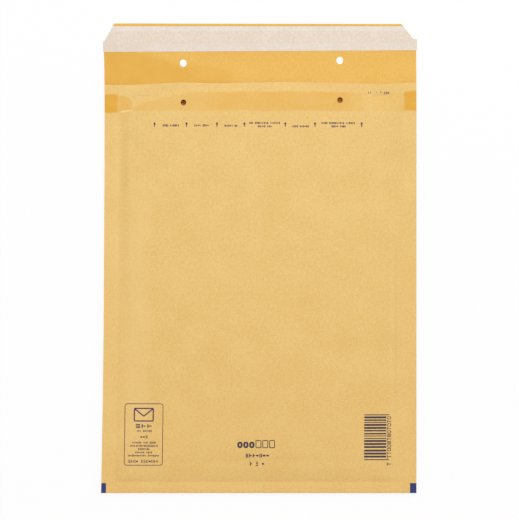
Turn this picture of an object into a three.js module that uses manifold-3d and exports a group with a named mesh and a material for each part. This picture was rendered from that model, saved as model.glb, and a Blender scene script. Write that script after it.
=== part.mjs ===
// Padded envelope lying on its back with its flap unfolded, in millimetres.
// X runs across the envelope, +Y runs from the bottom fold to the flap, +Z is up from the table.
// The origin is the centre of the outline, at table height.
import * as THREE from "three";
import { mergeVertices } from "three/addons/utils/BufferGeometryUtils.js";
import Module from "manifold-3d";

// Outline of the kraft cover
const BODY_WIDTH = 250;
const POCKET_LENGTH = 328.5;
const FLAP_LENGTH = 47.5;
const PAPER_THICKNESS = 0.15;

// Padding and the pocket between its two layers
const BUBBLE_THICKNESS = 3.2;
const POCKET_GAP = 4.8;
const PINCHED_FILM_THICKNESS = 0.5;
const FILM_SETBACK_FROM_MOUTH = 7.2;
const FILM_SETBACK_FROM_SIDE = 0.6;
const FILM_SETBACK_FROM_HEM = 0.8;

// Pressed edges, and how the padding swells behind them
const SEAM_WIDTH = 11;
const HEM_DEPTH = 9.6;
const SEAM_LIFT = 3;
const FRONT_SHOULDER = 24;
const BACK_SHOULDER = 17;
const POCKET_SHOULDER = 19;
const POCKET_EDGE_HEIGHT = 0.4;
const POCKET_SETBACK = 4.5;

// Hot-melt bands that bond the film to the paper under the mouth
const BAND_THICKNESS = 0.12;
const BAND_CLEARANCE = 0.04;
const BAND_HEIGHT = 15;
const BAND_SETBACK_FROM_MOUTH = 7.8;
const BAND_SETBACK_FROM_SIDE = 1;

// Pressure-sensitive adhesive and its peel-off strip on the flap
const ADHESIVE_THICKNESS = 0.12;
const ADHESIVE_WIDTH = 9.6;
const ADHESIVE_SETBACK_FROM_END = 6.2;
const ADHESIVE_SETBACK_FROM_SIDE = 1.5;
const LINER_STRIP_THICKNESS = 0.08;
const LINER_STRIP_WIDTH = 20.4;
const LINER_STRIP_SETBACK = 2.3;
const LINER_STRIP_OVERHANG = 0.6;
const SETTLED_FLAP_BEFORE_STRIP = 3.8;

// Clipped flap corners: inset from the side, width of the slanted cut, and its length along Y
const LEFT_CORNER = { inset: 0.8, run: 7.6, rise: 14 };
const RIGHT_CORNER = { inset: 2.4, run: 9.6, rise: 12.2 };

// Punched holes for a clasp: two in the flap, two in the front panel under them when it is closed
const HOLE_SPACING = 125.4;
const HOLE_ROW_SHIFT = 1;
const HOLE_ROW_SLANT = 2.1;
const FLAP_HOLE = { width: 5.4, length: 6, fromMouth: 16.7 };
const PANEL_HOLE = { width: 4.5, length: 4.8, fromMouth: -14.7 };
const HOLE_SIDES = 20;
const CUT_MARGIN = 3;

// Resolution of the faceted surfaces
const SHOULDER_STEPS = [0.1, 0.22, 0.37, 0.54, 0.75, 1];
const PLATEAU_STEPS = 4;
const FLAP_STEPS = 5;
const FOLD_STEPS = 8;
const MERGE_DISTANCE = 1e-4;

// Places that follow from the sizes above
const HALF_WIDTH = BODY_WIDTH / 2;
const BOTTOM_Y = -(POCKET_LENGTH + FLAP_LENGTH) / 2;
const MOUTH_Y = BOTTOM_Y + POCKET_LENGTH;
const FLAP_END_Y = MOUTH_Y + FLAP_LENGTH;
const CREASE_X = HALF_WIDTH - SEAM_WIDTH;
const CREASE_Y = BOTTOM_Y + HEM_DEPTH;
const SETTLED_FLAP_Y = FLAP_END_Y - LINER_STRIP_SETBACK - LINER_STRIP_WIDTH - SETTLED_FLAP_BEFORE_STRIP;
const FILM_TO_PAPER = BAND_THICKNESS + 2 * BAND_CLEARANCE;
const SEAM_HALF_GAP = PINCHED_FILM_THICKNESS / 2 + FILM_TO_PAPER;
const FRONT_INNER_Z =
  PAPER_THICKNESS + 2 * FILM_TO_PAPER + 2 * BUBBLE_THICKNESS + POCKET_GAP;

const wasm = await Module();
wasm.setup();

// Share of the full swelling at a distance inside a crease: steep at the crease, level at the reach.
function swell(distance, reach) {
  const left = 1 - THREE.MathUtils.clamp(distance / reach, 0, 1);
  return 1 - left * left;
}

// Share of the full swelling at a point, for a shoulder of the given reach and a setback inside the creases.
function pillow(x, y, reach, setback = 0) {
  const sides = swell(CREASE_X - setback - Math.abs(x), reach);
  return sides * swell(y - CREASE_Y - setback, reach);
}

// Height of the front panel's inner face.
function frontInnerZ(x, y) {
  const low = SEAM_LIFT + SEAM_HALF_GAP;
  return low + (FRONT_INNER_Z - low) * pillow(x, y, FRONT_SHOULDER);
}

// Height of the back panel's inner face, which lies on the table inside its creases.
function backInnerZ(x, y) {
  const high = SEAM_LIFT - SEAM_HALF_GAP;
  return high - (high - PAPER_THICKNESS) * pillow(x, y, BACK_SHOULDER);
}

// Height of the flap's upper face: level with the back panel at the mouth, settled on the table beyond.
function flapUpperZ(x, y) {
  const settled = THREE.MathUtils.smoothstep(y, MOUTH_Y, SETTLED_FLAP_Y);
  return THREE.MathUtils.lerp(backInnerZ(x, MOUTH_Y), PAPER_THICKNESS, settled);
}

// Heights of the film's outer faces, and of the pocket between its two layers.
const filmTopZ = (x, y) => frontInnerZ(x, y) - FILM_TO_PAPER;
const filmBottomZ = (x, y) => backInnerZ(x, y) + FILM_TO_PAPER;

function pocketMiddleZ(x, y) {
  return (filmTopZ(x, y) + filmBottomZ(x, y)) / 2;
}

function pocketHalfHeight(x, y) {
  const swelling = pillow(x, y, POCKET_SHOULDER, POCKET_SETBACK);
  return THREE.MathUtils.lerp(POCKET_EDGE_HEIGHT, POCKET_GAP, swelling) / 2;
}

// Evenly spaced values after the first, up to and with the last.
function steps(first, last, count) {
  return Array.from({ length: count }, (_, i) => first + ((last - first) * (i + 1)) / count);
}

// Columns across the width, from one side edge to the other, close together on the shoulders.
function columns(edge, setback = 0) {
  const crease = CREASE_X - setback;
  const shoulder = SHOULDER_STEPS.map((share) => crease - share * FRONT_SHOULDER);
  const plateau = steps(crease - FRONT_SHOULDER, 0, PLATEAU_STEPS / 2);
  const right = [edge, crease, ...shoulder, ...plateau].filter((x) => x <= edge);
  const mirrored = right.slice(0, -1).map((x) => -x);
  return [...new Set([...mirrored, ...right.reverse()])];
}

// Rows of the pocket, from one height to another near the mouth, close together above the hem.
function pocketRows(first, last, setback = 0) {
  const crease = CREASE_Y + setback;
  const shoulder = SHOULDER_STEPS.map((share) => crease + share * FRONT_SHOULDER);
  const plateau = steps(crease + FRONT_SHOULDER, last, PLATEAU_STEPS);
  return [first, crease, ...shoulder, ...plateau].filter((y, i) => i === 0 || y > first);
}

// A closed body between two grids of points of the same size. Seen from outside, the first grid's rows run
// down and its columns run right.
function closedBody(outer, inner) {
  const rows = outer.length;
  const across = outer[0].length;
  const points = [...outer.flat(), ...inner.flat()];
  const at = (side, row, column) => (side * rows + row) * across + column;
  const triangles = [];
  const quad = (a, b, c, d) => triangles.push(a, b, c, a, c, d);
  for (let i = 0; i < rows - 1; i++) {
    for (let j = 0; j < across - 1; j++) {
      quad(at(0, i, j), at(0, i + 1, j), at(0, i + 1, j + 1), at(0, i, j + 1));
      quad(at(1, i, j), at(1, i, j + 1), at(1, i + 1, j + 1), at(1, i + 1, j));
    }
    const end = across - 1;
    quad(at(0, i, 0), at(1, i, 0), at(1, i + 1, 0), at(0, i + 1, 0));
    quad(at(0, i, end), at(0, i + 1, end), at(1, i + 1, end), at(1, i, end));
  }
  for (let j = 0; j < across - 1; j++) {
    const end = rows - 1;
    quad(at(0, 0, j), at(0, 0, j + 1), at(1, 0, j + 1), at(1, 0, j));
    quad(at(0, end, j), at(1, end, j), at(1, end, j + 1), at(0, end, j + 1));
  }
  const geometry = new THREE.BufferGeometry();
  geometry.setAttribute("position", new THREE.Float32BufferAttribute(points.flat(), 3));
  geometry.setIndex(triangles);
  return geometry;
}

// A closed body over a rectangle, between a lower and an upper height.
function slab(xs, ys, lowZ, highZ) {
  const rows = [...ys].reverse();
  const grid = (height) => rows.map((y) => xs.map((x) => [x, y, height(x, y)]));
  return closedBody(grid(highZ), grid(lowZ));
}

// Conversions between three.js geometry and solids that can be joined and cut.
function toSolid(geometry) {
  const bare = geometry.clone();
  bare.deleteAttribute("normal");
  bare.deleteAttribute("uv");
  const merged = mergeVertices(bare, MERGE_DISTANCE);
  const mesh = new wasm.Mesh({
    numProp: 3,
    vertProperties: merged.attributes.position.array,
    triVerts: new Uint32Array(merged.index.array),
  });
  return new wasm.Manifold(mesh);
}

function toGeometry(solid) {
  const mesh = solid.getMesh();
  const geometry = new THREE.BufferGeometry();
  geometry.setAttribute("position", new THREE.Float32BufferAttribute(mesh.vertProperties, 3));
  geometry.setIndex([...mesh.triVerts]);
  return geometry;
}

// A flat outline given as corner points, raised between two heights.
function prism(corners, lowZ, highZ) {
  const shape = new THREE.Shape(corners.map(([x, y]) => new THREE.Vector2(x, y)));
  const depth = highZ - lowZ;
  const geometry = new THREE.ExtrudeGeometry(shape, { depth, bevelEnabled: false });
  return geometry.translate(0, 0, lowZ);
}

function rectangle(left, right, bottom, top) {
  return [
    [left, bottom],
    [right, bottom],
    [right, top],
    [left, top],
  ];
}

// What a clipped corner takes away from the flap and the strip on it. The side is -1 or 1.
function cornerCutter(corner, side) {
  const startX = HALF_WIDTH - corner.inset;
  const startY = FLAP_END_Y - corner.rise;
  const slope = corner.run / corner.rise;
  const farY = FLAP_END_Y + CUT_MARGIN;
  const farX = HALF_WIDTH + LINER_STRIP_OVERHANG + CUT_MARGIN;
  const outline = [
    [startX, startY],
    [farX, startY],
    [farX, farY],
    [startX - slope * (farY - startY), farY],
  ].map(([x, y]) => [side * x, y]);
  return toSolid(prism(outline, -CUT_MARGIN, CUT_MARGIN));
}

const clippedCorners = [cornerCutter(LEFT_CORNER, -1), cornerCutter(RIGHT_CORNER, 1)];

// The two punches of a hole row, between two heights.
function punches(hole, lowZ, highZ) {
  return [-1, 1].map((side) => {
    const x = HOLE_ROW_SHIFT + (side * HOLE_SPACING) / 2;
    const y = MOUTH_Y + hole.fromMouth + (side * HOLE_ROW_SLANT) / 2;
    const unitRadius = 0.5;
    const punch = new THREE.CylinderGeometry(unitRadius, unitRadius, highZ - lowZ, HOLE_SIDES);
    punch.rotateX(Math.PI / 2);
    punch.scale(hole.width, hole.length, 1);
    return toSolid(punch.translate(x, y, (lowZ + highZ) / 2));
  });
}

function cutAway(geometry, cutters) {
  const solid = cutters.reduce((rest, cutter) => rest.subtract(cutter), toSolid(geometry));
  return toGeometry(solid);
}

const pocketMiddle = PAPER_THICKNESS + FILM_TO_PAPER + BUBBLE_THICKNESS + POCKET_GAP / 2;
const panelPunches = punches(PANEL_HOLE, pocketMiddle, FRONT_INNER_Z + CUT_MARGIN);

// The folded paper: down the front panel, round the bottom fold, up the back panel and out along the flap.
function kraftCover() {
  const foldRadius = SEAM_HALF_GAP;
  const foldY = BOTTOM_Y + foldRadius + PAPER_THICKNESS;
  const xs = columns(HALF_WIDTH);
  const ys = pocketRows(foldY, MOUTH_Y);
  const flapRows = [...steps(MOUTH_Y, SETTLED_FLAP_Y, FLAP_STEPS), FLAP_END_Y];
  const arc = steps(0, Math.PI, FOLD_STEPS).slice(0, -1);
  const row = (y, height) => xs.map((x) => [x, y, height(x, y)]);
  const sheet = (offset) => [
    ...[...ys].reverse().map((y) => row(y, (x) => frontInnerZ(x, y) + offset)),
    ...arc.map((angle) => {
      const radius = foldRadius + offset;
      const height = SEAM_LIFT + radius * Math.cos(angle);
      return row(foldY - radius * Math.sin(angle), () => height);
    }),
    ...ys.map((y) => row(y, (x) => backInnerZ(x, y) - offset)),
    ...flapRows.map((y) => row(y, (x) => flapUpperZ(x, y) - offset)),
  ];
  const folded = closedBody(sheet(PAPER_THICKNESS), sheet(0));
  const flapPunches = punches(FLAP_HOLE, -CUT_MARGIN, CUT_MARGIN);
  return cutAway(folded, [...clippedCorners, ...flapPunches, ...panelPunches]);
}

// The film pouch: the whole space inside the paper, less the pocket that is open at the mouth.
function bubbleLiner() {
  const edge = HALF_WIDTH - FILM_SETBACK_FROM_SIDE;
  const topY = MOUTH_Y - FILM_SETBACK_FROM_MOUTH;
  const filled = slab(
    columns(edge),
    pocketRows(CREASE_Y + FILM_SETBACK_FROM_HEM, topY),
    filmBottomZ,
    filmTopZ,
  );
  const pocket = slab(
    columns(CREASE_X - POCKET_SETBACK, POCKET_SETBACK),
    pocketRows(CREASE_Y + POCKET_SETBACK, MOUTH_Y, POCKET_SETBACK),
    (x, y) => pocketMiddleZ(x, y) - pocketHalfHeight(x, y),
    (x, y) => pocketMiddleZ(x, y) + pocketHalfHeight(x, y),
  );
  return cutAway(filled, [toSolid(pocket), ...panelPunches]);
}

// Rows of a glue band, which lies where the pocket's height no longer changes along Y.
const bandTopY = MOUTH_Y - BAND_SETBACK_FROM_MOUTH;
const bandRows = [bandTopY - BAND_HEIGHT, bandTopY];
const bandColumns = columns(HALF_WIDTH - BAND_SETBACK_FROM_SIDE);

function frontGlueBand() {
  const top = (x, y) => frontInnerZ(x, y) - BAND_CLEARANCE;
  const band = slab(bandColumns, bandRows, (x, y) => top(x, y) - BAND_THICKNESS, top);
  return cutAway(band, panelPunches);
}

function backGlueBand() {
  const bottom = (x, y) => backInnerZ(x, y) + BAND_CLEARANCE;
  return slab(bandColumns, bandRows, bottom, (x, y) => bottom(x, y) + BAND_THICKNESS);
}

function adhesiveStrip() {
  const side = HALF_WIDTH - ADHESIVE_SETBACK_FROM_SIDE;
  const top = FLAP_END_Y - ADHESIVE_SETBACK_FROM_END;
  const outline = rectangle(-side, side, top - ADHESIVE_WIDTH, top);
  const upper = PAPER_THICKNESS + ADHESIVE_THICKNESS;
  return cutAway(prism(outline, PAPER_THICKNESS, upper), clippedCorners);
}

function releaseLiner() {
  const side = HALF_WIDTH + LINER_STRIP_OVERHANG;
  const top = FLAP_END_Y - LINER_STRIP_SETBACK;
  const outline = rectangle(-side, side, top - LINER_STRIP_WIDTH, top);
  const lower = PAPER_THICKNESS + ADHESIVE_THICKNESS;
  return cutAway(prism(outline, lower, lower + LINER_STRIP_THICKNESS), clippedCorners);
}

// Finishes
const KRAFT_PAPER = { color: 0xe9c37b, roughness: 0.85, metalness: 0 };
const BUBBLE_FILM = { color: 0xdfe4e6, roughness: 0.3, metalness: 0, transparent: true, opacity: 0.6 };
const HOT_MELT = { color: 0xdcae5a, roughness: 0.5, metalness: 0 };
const TACKY_ADHESIVE = { color: 0xe8dcc0, roughness: 0.25, metalness: 0 };
const SILICONE_PAPER = { color: 0xebdccf, roughness: 0.4, metalness: 0 };

function piece(name, geometry, finish) {
  geometry.computeVertexNormals();
  const mesh = new THREE.Mesh(geometry, new THREE.MeshStandardMaterial(finish));
  mesh.name = name;
  return mesh;
}

const envelope = new THREE.Group();
envelope.add(
  piece("kraft_cover", kraftCover(), KRAFT_PAPER),
  piece("bubble_liner", bubbleLiner(), BUBBLE_FILM),
  piece("front_glue_band", frontGlueBand(), HOT_MELT),
  piece("back_glue_band", backGlueBand(), HOT_MELT),
  piece("adhesive_strip", adhesiveStrip(), TACKY_ADHESIVE),
  piece("release_liner", releaseLiner(), SILICONE_PAPER),
);

export default envelope;
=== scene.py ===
"""Looks of a padded kraft envelope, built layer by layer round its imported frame.

Every layer is cut flat, as on the bench: x runs across the sheet, s runs up the front panel, and s below the
bottom fold runs on up the back panel and out along the flap. One shared form then folds all the layers, so
they keep their clearances. Lengths are metres, with +Y towards the flap and +Z up from the table.
"""

import logging
import math
from collections.abc import Callable, Iterable, Sequence
from dataclasses import dataclass, field
from enum import Enum, IntEnum

import bmesh
import bpy
import numpy as np
from mathutils import Matrix, Vector

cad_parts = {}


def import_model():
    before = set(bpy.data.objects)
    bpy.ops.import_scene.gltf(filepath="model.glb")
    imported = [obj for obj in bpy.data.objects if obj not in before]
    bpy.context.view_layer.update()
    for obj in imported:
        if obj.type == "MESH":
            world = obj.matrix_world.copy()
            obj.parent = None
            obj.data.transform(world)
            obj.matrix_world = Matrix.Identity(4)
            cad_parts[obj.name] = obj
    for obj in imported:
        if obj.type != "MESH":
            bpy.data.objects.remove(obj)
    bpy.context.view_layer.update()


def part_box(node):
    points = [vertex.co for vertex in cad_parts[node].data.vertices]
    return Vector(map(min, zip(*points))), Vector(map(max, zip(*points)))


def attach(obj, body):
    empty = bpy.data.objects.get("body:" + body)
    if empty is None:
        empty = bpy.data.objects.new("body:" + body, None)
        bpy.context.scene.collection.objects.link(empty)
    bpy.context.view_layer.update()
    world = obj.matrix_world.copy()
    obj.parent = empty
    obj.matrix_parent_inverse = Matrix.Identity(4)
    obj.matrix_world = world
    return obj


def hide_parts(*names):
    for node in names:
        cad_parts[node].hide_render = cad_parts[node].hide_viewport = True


LOG = logging.getLogger("padded_envelope")
MM = 0.001
SCORE_SNAP = 0.02 * MM
SHEET_MAP = "sheet"

Array = np.ndarray
Colour = tuple[float, float, float]
Point = tuple[float, float]
Span = tuple[float, float]
Feed = bpy.types.NodeSocket | float | tuple[float, ...]
Feeds = dict[str | int, Feed]

WHITE: Colour = (1.0, 1.0, 1.0)
NOISE_SPAN: Span = (0.3, 0.7)
WIDE_NOISE_SPAN: Span = (0.25, 0.75)


class Side(IntEnum):
    """A side of the envelope, as the sign of its x."""

    LEFT = -1
    RIGHT = 1


class Face(IntEnum):
    """Material index of a slab's faces."""

    OUTER = 0
    INNER = 1
    EDGE = 2


def mm(first: float, second: float) -> tuple[float, float]:
    """Gives a pair of lengths in metres, from millimetres."""
    return first * MM, second * MM


def smooth_step(value: Array, start: float, end: float) -> Array:
    """Gives a soft ramp from 0 at the start to 1 at the end, which may lie below the start."""
    share = np.clip((value - start) / (end - start), 0.0, 1.0)
    return share * share * (3.0 - 2.0 * share)


@dataclass(frozen=True)
class Undulation:
    """Unevenness made of a few plane waves with seeded directions, lengths and phases."""

    seed: int
    height: float
    shortest: float
    longest: float
    waves: int = 7

    def at(self, x: Array, y: Array) -> Array:
        """Gives the unevenness at points of the sheet.

        Args:
            x: Places across the sheet.
            y: Places along it.

        Returns:
            The height at each point, with a spread of about the undulation's height.
        """
        draw = np.random.default_rng(self.seed)
        total = np.zeros_like(x)
        for _ in range(self.waves):
            heading, phase = draw.uniform(0.0, math.tau, 2)
            turns = math.tau / draw.uniform(self.shortest, self.longest)
            total += np.cos((x * math.cos(heading) + y * math.sin(heading)) * turns + phase)
        return self.height * math.sqrt(2.0 / self.waves) * total


@dataclass(frozen=True)
class Crease:
    """A soft line pressed into the front panel. A negative depth raises it as a ridge."""

    start: Point
    end: Point
    width: float
    depth: float

    def at(self, x: Array, y: Array) -> Array:
        """Gives the crease's height at points of the sheet.

        Args:
            x: Places across the sheet.
            y: Places along it.

        Returns:
            The height at each point, deepest halfway along the line.
        """
        run, rise = self.end[0] - self.start[0], self.end[1] - self.start[1]
        share = ((x - self.start[0]) * run + (y - self.start[1]) * rise) / (run * run + rise * rise)
        share = np.clip(share, 0.0, 1.0)
        away = np.hypot(x - self.start[0] - share * run, y - self.start[1] - share * rise)
        return -4.0 * self.depth * share * (1.0 - share) * np.exp(-((away / self.width) ** 2))


@dataclass(frozen=True)
class EnvelopeForm:
    """The shape that the folded paper takes, which every other layer follows."""

    half_width: float
    bottom_y: float
    flap_end_y: float
    front_top: float
    paper: float = 0.15 * MM
    pocket_length: float = 328.5 * MM
    seam_width: float = 11 * MM
    hem_depth: float = 8.9 * MM
    seam_lift: float = 3 * MM
    seam_half_gap: float = 0.45 * MM
    front_shoulder: float = 13 * MM
    puff_shoulder: float = 20 * MM
    puff_slope: float = 112 * MM
    shoulder_share: float = 0.2
    mouth_thinning: float = 0.36
    thinning_from: float = 10 * MM
    back_shoulder: float = 17 * MM
    crease_rounding: float = 0.6 * MM
    flap_settles: float = 21 * MM
    lip_droop: float = 4.05 * MM
    lip_reach: float = 27 * MM
    lip_tuck: float = 2.2 * MM
    tuck_reach: float = 14 * MM
    least_gap: float = 0.95 * MM
    closed_gap: float = 0.45 * MM
    closing_reach: float = 5 * MM
    gap_rounding: float = 0.3 * MM
    mouth_lift: float = 1.8 * MM
    mouth_lift_from: float = 104 * MM
    glue_from_mouth: float = 15.2 * MM
    seam_valley: float = 0.12 * MM
    seam_valley_width: float = 4 * MM
    crease_groove: float = 0.36 * MM
    crease_groove_width: float = 1.8 * MM
    groove_edges: tuple[float, ...] = (-1.0, -0.42, 0.0, 0.42, 1.0)
    edge_step: float = 0.1 * MM
    corner_step: float = 0.42 * MM
    edge_reach: float = 4.5 * MM
    corner_from: float = 62 * MM
    flap_end_slant: float = 0.5 * MM
    flap_end_margin: float = 2.3 * MM
    normal_step: float = 0.05 * MM
    lean: tuple[Point, ...] = (
        mm(-188, -2.3),
        mm(-165, -1.85),
        mm(-117, -1.0),
        mm(-60, -0.25),
        mm(8, 0.1),
        mm(75, 0.5),
        mm(130, 0.5),
        mm(152, 0.2),
        mm(168, -0.3),
    )
    mouth_edge_reach: float = 26 * MM
    mouth_edge: tuple[Point, ...] = (
        mm(-125, -1.7),
        mm(-108, -1.8),
        mm(-61, 0.2),
        mm(-38, -0.4),
        mm(24, 0.6),
        mm(100, -0.9),
        mm(125, 0.1),
    )
    swells: Undulation = Undulation(seed=11, height=0.16 * MM, shortest=70 * MM, longest=170 * MM)
    dimples: Undulation = Undulation(seed=23, height=0.035 * MM, shortest=22 * MM, longest=48 * MM)
    puckers: Undulation = Undulation(seed=5, height=0.1 * MM, shortest=13 * MM, longest=30 * MM)
    lip_wave: Undulation = Undulation(seed=8, height=0.35 * MM, shortest=45 * MM, longest=120 * MM)
    flap_wave: Undulation = Undulation(seed=17, height=0.12 * MM, shortest=60 * MM, longest=140 * MM)
    pucker_reach: float = 26 * MM
    pucker_gain: float = 6.0
    pucker_stretch: float = 0.12
    creases: tuple[Crease, ...] = (
        Crease(mm(-113, -178), mm(-96, -163), 2.6 * MM, 0.5 * MM),
        Crease(mm(113, -178), mm(97, -165), 2.6 * MM, 0.45 * MM),
        Crease(mm(-98, -162.6), mm(104, -162.9), 2.5 * MM, 0.62 * MM),
        Crease(mm(-99, -43), mm(-57, -45), 2.4 * MM, 0.26 * MM),
        Crease(mm(52, -103), mm(89, -102), 2.4 * MM, 0.26 * MM),
        Crease(mm(-3, 9), mm(76, 8), 4 * MM, -0.22 * MM),
        Crease(mm(50, 27), mm(82, 24), 5 * MM, 0.34 * MM),
        Crease(mm(106, 28), mm(111, 12), 2.3 * MM, 0.45 * MM),
    )

    @classmethod
    def from_frame(cls) -> "EnvelopeForm":
        """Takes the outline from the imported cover."""
        low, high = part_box("kraft_cover")
        return cls(half_width=high.x, bottom_y=low.y, flap_end_y=high.y, front_top=high.z)

    @property
    def mouth_y(self) -> float:
        """Where the front panel ends."""
        return self.bottom_y + self.pocket_length

    @property
    def glue_y(self) -> float:
        """Middle of the glue that shows through the front panel, and of the holes punched there."""
        return self.mouth_y - self.glue_from_mouth

    @property
    def crease_x(self) -> float:
        """Inner border of a side seam."""
        return self.half_width - self.seam_width

    @property
    def crease_y(self) -> float:
        """Inner border of the bottom hem."""
        return self.bottom_y + self.hem_depth

    @property
    def side_creases(self) -> tuple[float, ...]:
        """Lines of edges along the side seams, close enough for the groove."""
        return tuple(side * (self.crease_x + step) for side in Side for step in self._groove_steps)

    @property
    def hem_creases(self) -> tuple[float, ...]:
        """Lines of edges along the hem of the front panel."""
        return tuple(self.crease_y + step for step in self._groove_steps)

    @property
    def _groove_steps(self) -> tuple[float, ...]:
        """Places of edges across a groove, from its middle."""
        return tuple(self.crease_groove_width * share for share in self.groove_edges)

    @property
    def fold_radius(self) -> float:
        """Radius of the bottom fold, to the paper's outer face."""
        return self.seam_half_gap + self.paper

    @property
    def fold_s(self) -> float:
        """Where the front panel meets the bottom fold."""
        return self.bottom_y + self.fold_radius

    @property
    def back_s(self) -> float:
        """Where the bottom fold meets the back panel."""
        return self.fold_s - math.pi * self.fold_radius

    @property
    def end_s(self) -> float:
        """Where the flap ends."""
        return self.behind(self.flap_end_y)

    def behind(self, y: float) -> float:
        """Gives the place s on the back panel or the flap that lies at this y."""
        return self.back_s - (y - self.fold_s)

    def swell(self, distance: Array, reach: float) -> Array:
        """Gives the share of the full swelling at a distance inside a crease.

        Args:
            distance: How far inside the crease each point lies.
            reach: Where the swelling is full.

        Returns:
            0 at the crease and outside it, rising to 1 at the reach.
        """
        rounding = self.crease_rounding
        eased = np.hypot(np.maximum(distance, 0.0), rounding) - rounding
        return 1.0 - (1.0 - np.clip(eased / reach, 0.0, 1.0)) ** 2

    def pillow(self, x: Array, y: Array, reach: float, setback: float = 0.0) -> Array:
        """Gives the share of the full swelling, for a shoulder that starts at a setback from the creases."""
        sides = self.swell(self.crease_x - setback - np.abs(x), reach)
        return sides * self.swell(y - self.crease_y - setback, reach)

    def relief(self, x: Array, y: Array) -> Array:
        """Gives the front panel's own unevenness.

        Args:
            x: Places across the sheet.
            y: Places along it.

        Returns:
            The height of its swells, dimples, side puckers and creases at each point.
        """
        inside = np.clip((self.crease_x - np.abs(x)) / self.pucker_reach, 0.0, 1.0)
        near_seam = self.pucker_gain * inside * (1.0 - inside) ** 2
        total = self.swells.at(x, y) + self.dimples.at(x, y)
        total += near_seam * self.puckers.at(x * self.pucker_stretch, y)
        for crease in self.creases:
            total += crease.at(x, y)
        return total

    def puff(self, x: Array, y: Array) -> Array:
        """Gives the front panel's share of its full height.

        Args:
            x: Places across the sheet.
            y: Places along it.

        Returns:
            The share at each point, which falls off slowly towards every side and towards the mouth.
        """
        firm = self.pillow(x, y, self.puff_shoulder)
        slow = self.pillow(x, y, self.puff_slope)
        thinned = 1.0 - self.mouth_thinning * smooth_step(y, self.thinning_from, self.mouth_y)
        return (slow + self.shoulder_share * (firm - slow)) * thinned

    def from_crease(self, x: Array, y: Array) -> Array:
        """Gives the distance from the nearest border of a side seam or the hem."""
        return np.abs(np.maximum(np.abs(x) - self.crease_x, self.crease_y - y))

    def groove(self, x: Array, y: Array) -> Array:
        """Gives the depth of the groove that the seaming tool pressed into both panels."""
        return self.crease_groove * np.exp(-self.from_crease(x, y) / self.crease_groove_width)

    def step(self, x: Array, y: Array) -> Array:
        """Gives the small step up to the film's edge beside a crease.

        Args:
            x: Places across the sheet.
            y: Places along it.

        Returns:
            The step's height at each point, higher near the bottom corners.
        """
        corner = smooth_step(np.abs(x), self.corner_from, self.crease_x)
        corner *= smooth_step(y, self.crease_y + self.corner_from, self.crease_y)
        return (self.edge_step + self.corner_step * corner) * self.pillow(x, y, self.edge_reach)

    def lip(self, x: Array, y: Array) -> Array:
        """Gives the bend of the front panel down to the flap at the mouth.

        Args:
            x: Places across the sheet.
            y: Places along it.

        Returns:
            The height that the bend adds at each point, which is below 0 near the mouth.
        """
        droop = self.lip_wave.at(x, np.zeros_like(y)) - self.lip_droop
        tuck = self.lip_tuck * smooth_step(y, self.mouth_y - self.tuck_reach, self.mouth_y)
        return droop * smooth_step(y, self.mouth_y - self.lip_reach, self.mouth_y) - tuck

    def lowest_front(self, x: Array, y: Array) -> Array:
        """Gives the least height of the front panel, which leaves room for the film except at the lip."""
        closing = smooth_step(y, self.mouth_y - self.closing_reach, self.mouth_y)
        return self.back_z(x, y) + self.least_gap + closing * (self.closed_gap - self.least_gap)

    def front_z(self, x: Array, y: Array) -> Array:
        """Gives the height of the front panel's outer face.

        Args:
            x: Places across the sheet.
            y: Places along it.

        Returns:
            The height at each point, eased where the panel would come too close to the back.
        """
        low = self.seam_lift + self.fold_radius
        firm = self.pillow(x, y, self.front_shoulder)
        panel = self.puff(x, y) * (self.front_top - low) + firm * (self.relief(x, y) + self.lip(x, y))
        panel += self.step(x, y)
        valley = self.seam_valley * np.exp(-self.from_crease(x, y) / self.seam_valley_width)
        lowest = self.lowest_front(x, y)
        over = low + panel - valley - self.groove(x, y) - lowest
        return lowest + (over + np.hypot(over, self.gap_rounding)) / 2.0

    def back_z(self, x: Array, y: Array) -> Array:
        """Gives the height of the back panel's outer face, or of the flap's lower face.

        Args:
            x: Places across the sheet.
            y: Places along it.

        Returns:
            The height at each point. The flap comes down to the table just past the mouth.
        """
        high = self.seam_lift - self.fold_radius
        flat = self.pillow(x, np.minimum(y, self.mouth_y), self.back_shoulder)
        lifted = self.mouth_lift * smooth_step(y, self.mouth_lift_from, self.mouth_y)
        panel = high + flat * (lifted - high) - self.groove(x, y)
        settled = smooth_step(y, self.mouth_y, self.mouth_y + self.flap_settles)
        wave = self.flap_wave.height * 2.0 + self.flap_wave.at(x, y)
        return panel * (1.0 - settled) + settled * np.maximum(wave, 0.0)

    def shifted(self, x: Array, y: Array) -> Array:
        """Gives x with the sheet's lean added, which bows its left side."""
        share = (self.half_width - x) / (2.0 * self.half_width)
        return x + share * np.interp(y, *zip(*self.lean))

    def mouth_shift(self, x: Array, s: Array) -> Array:
        """Gives the waves of the front panel's upper edge.

        Args:
            x: Places across the sheet.
            s: Places along it.

        Returns:
            How far each point lies above its place on a straight-edged panel.
        """
        places, shifts = (np.array(column) for column in zip(*self.mouth_edge))
        index = np.clip(np.searchsorted(places, x) - 1, 0, len(places) - 2)
        share = (x - places[index]) / (places[index + 1] - places[index])
        rise = shifts[index + 1] - shifts[index]
        edge = shifts[index] + rise * smooth_step(share, 0.0, 1.0)
        return edge * smooth_step(s, self.mouth_y - self.mouth_edge_reach, self.mouth_y)

    def end_shift(self, x: Array, s: Array) -> Array:
        """Gives how far the slanted end of the flap lies below a straight one, beyond the peel-off strip."""
        across = (self.half_width + x) / (2.0 * self.half_width)
        return -self.flap_end_slant * across * smooth_step(s, self.end_s + self.flap_end_margin, self.end_s)

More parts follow.
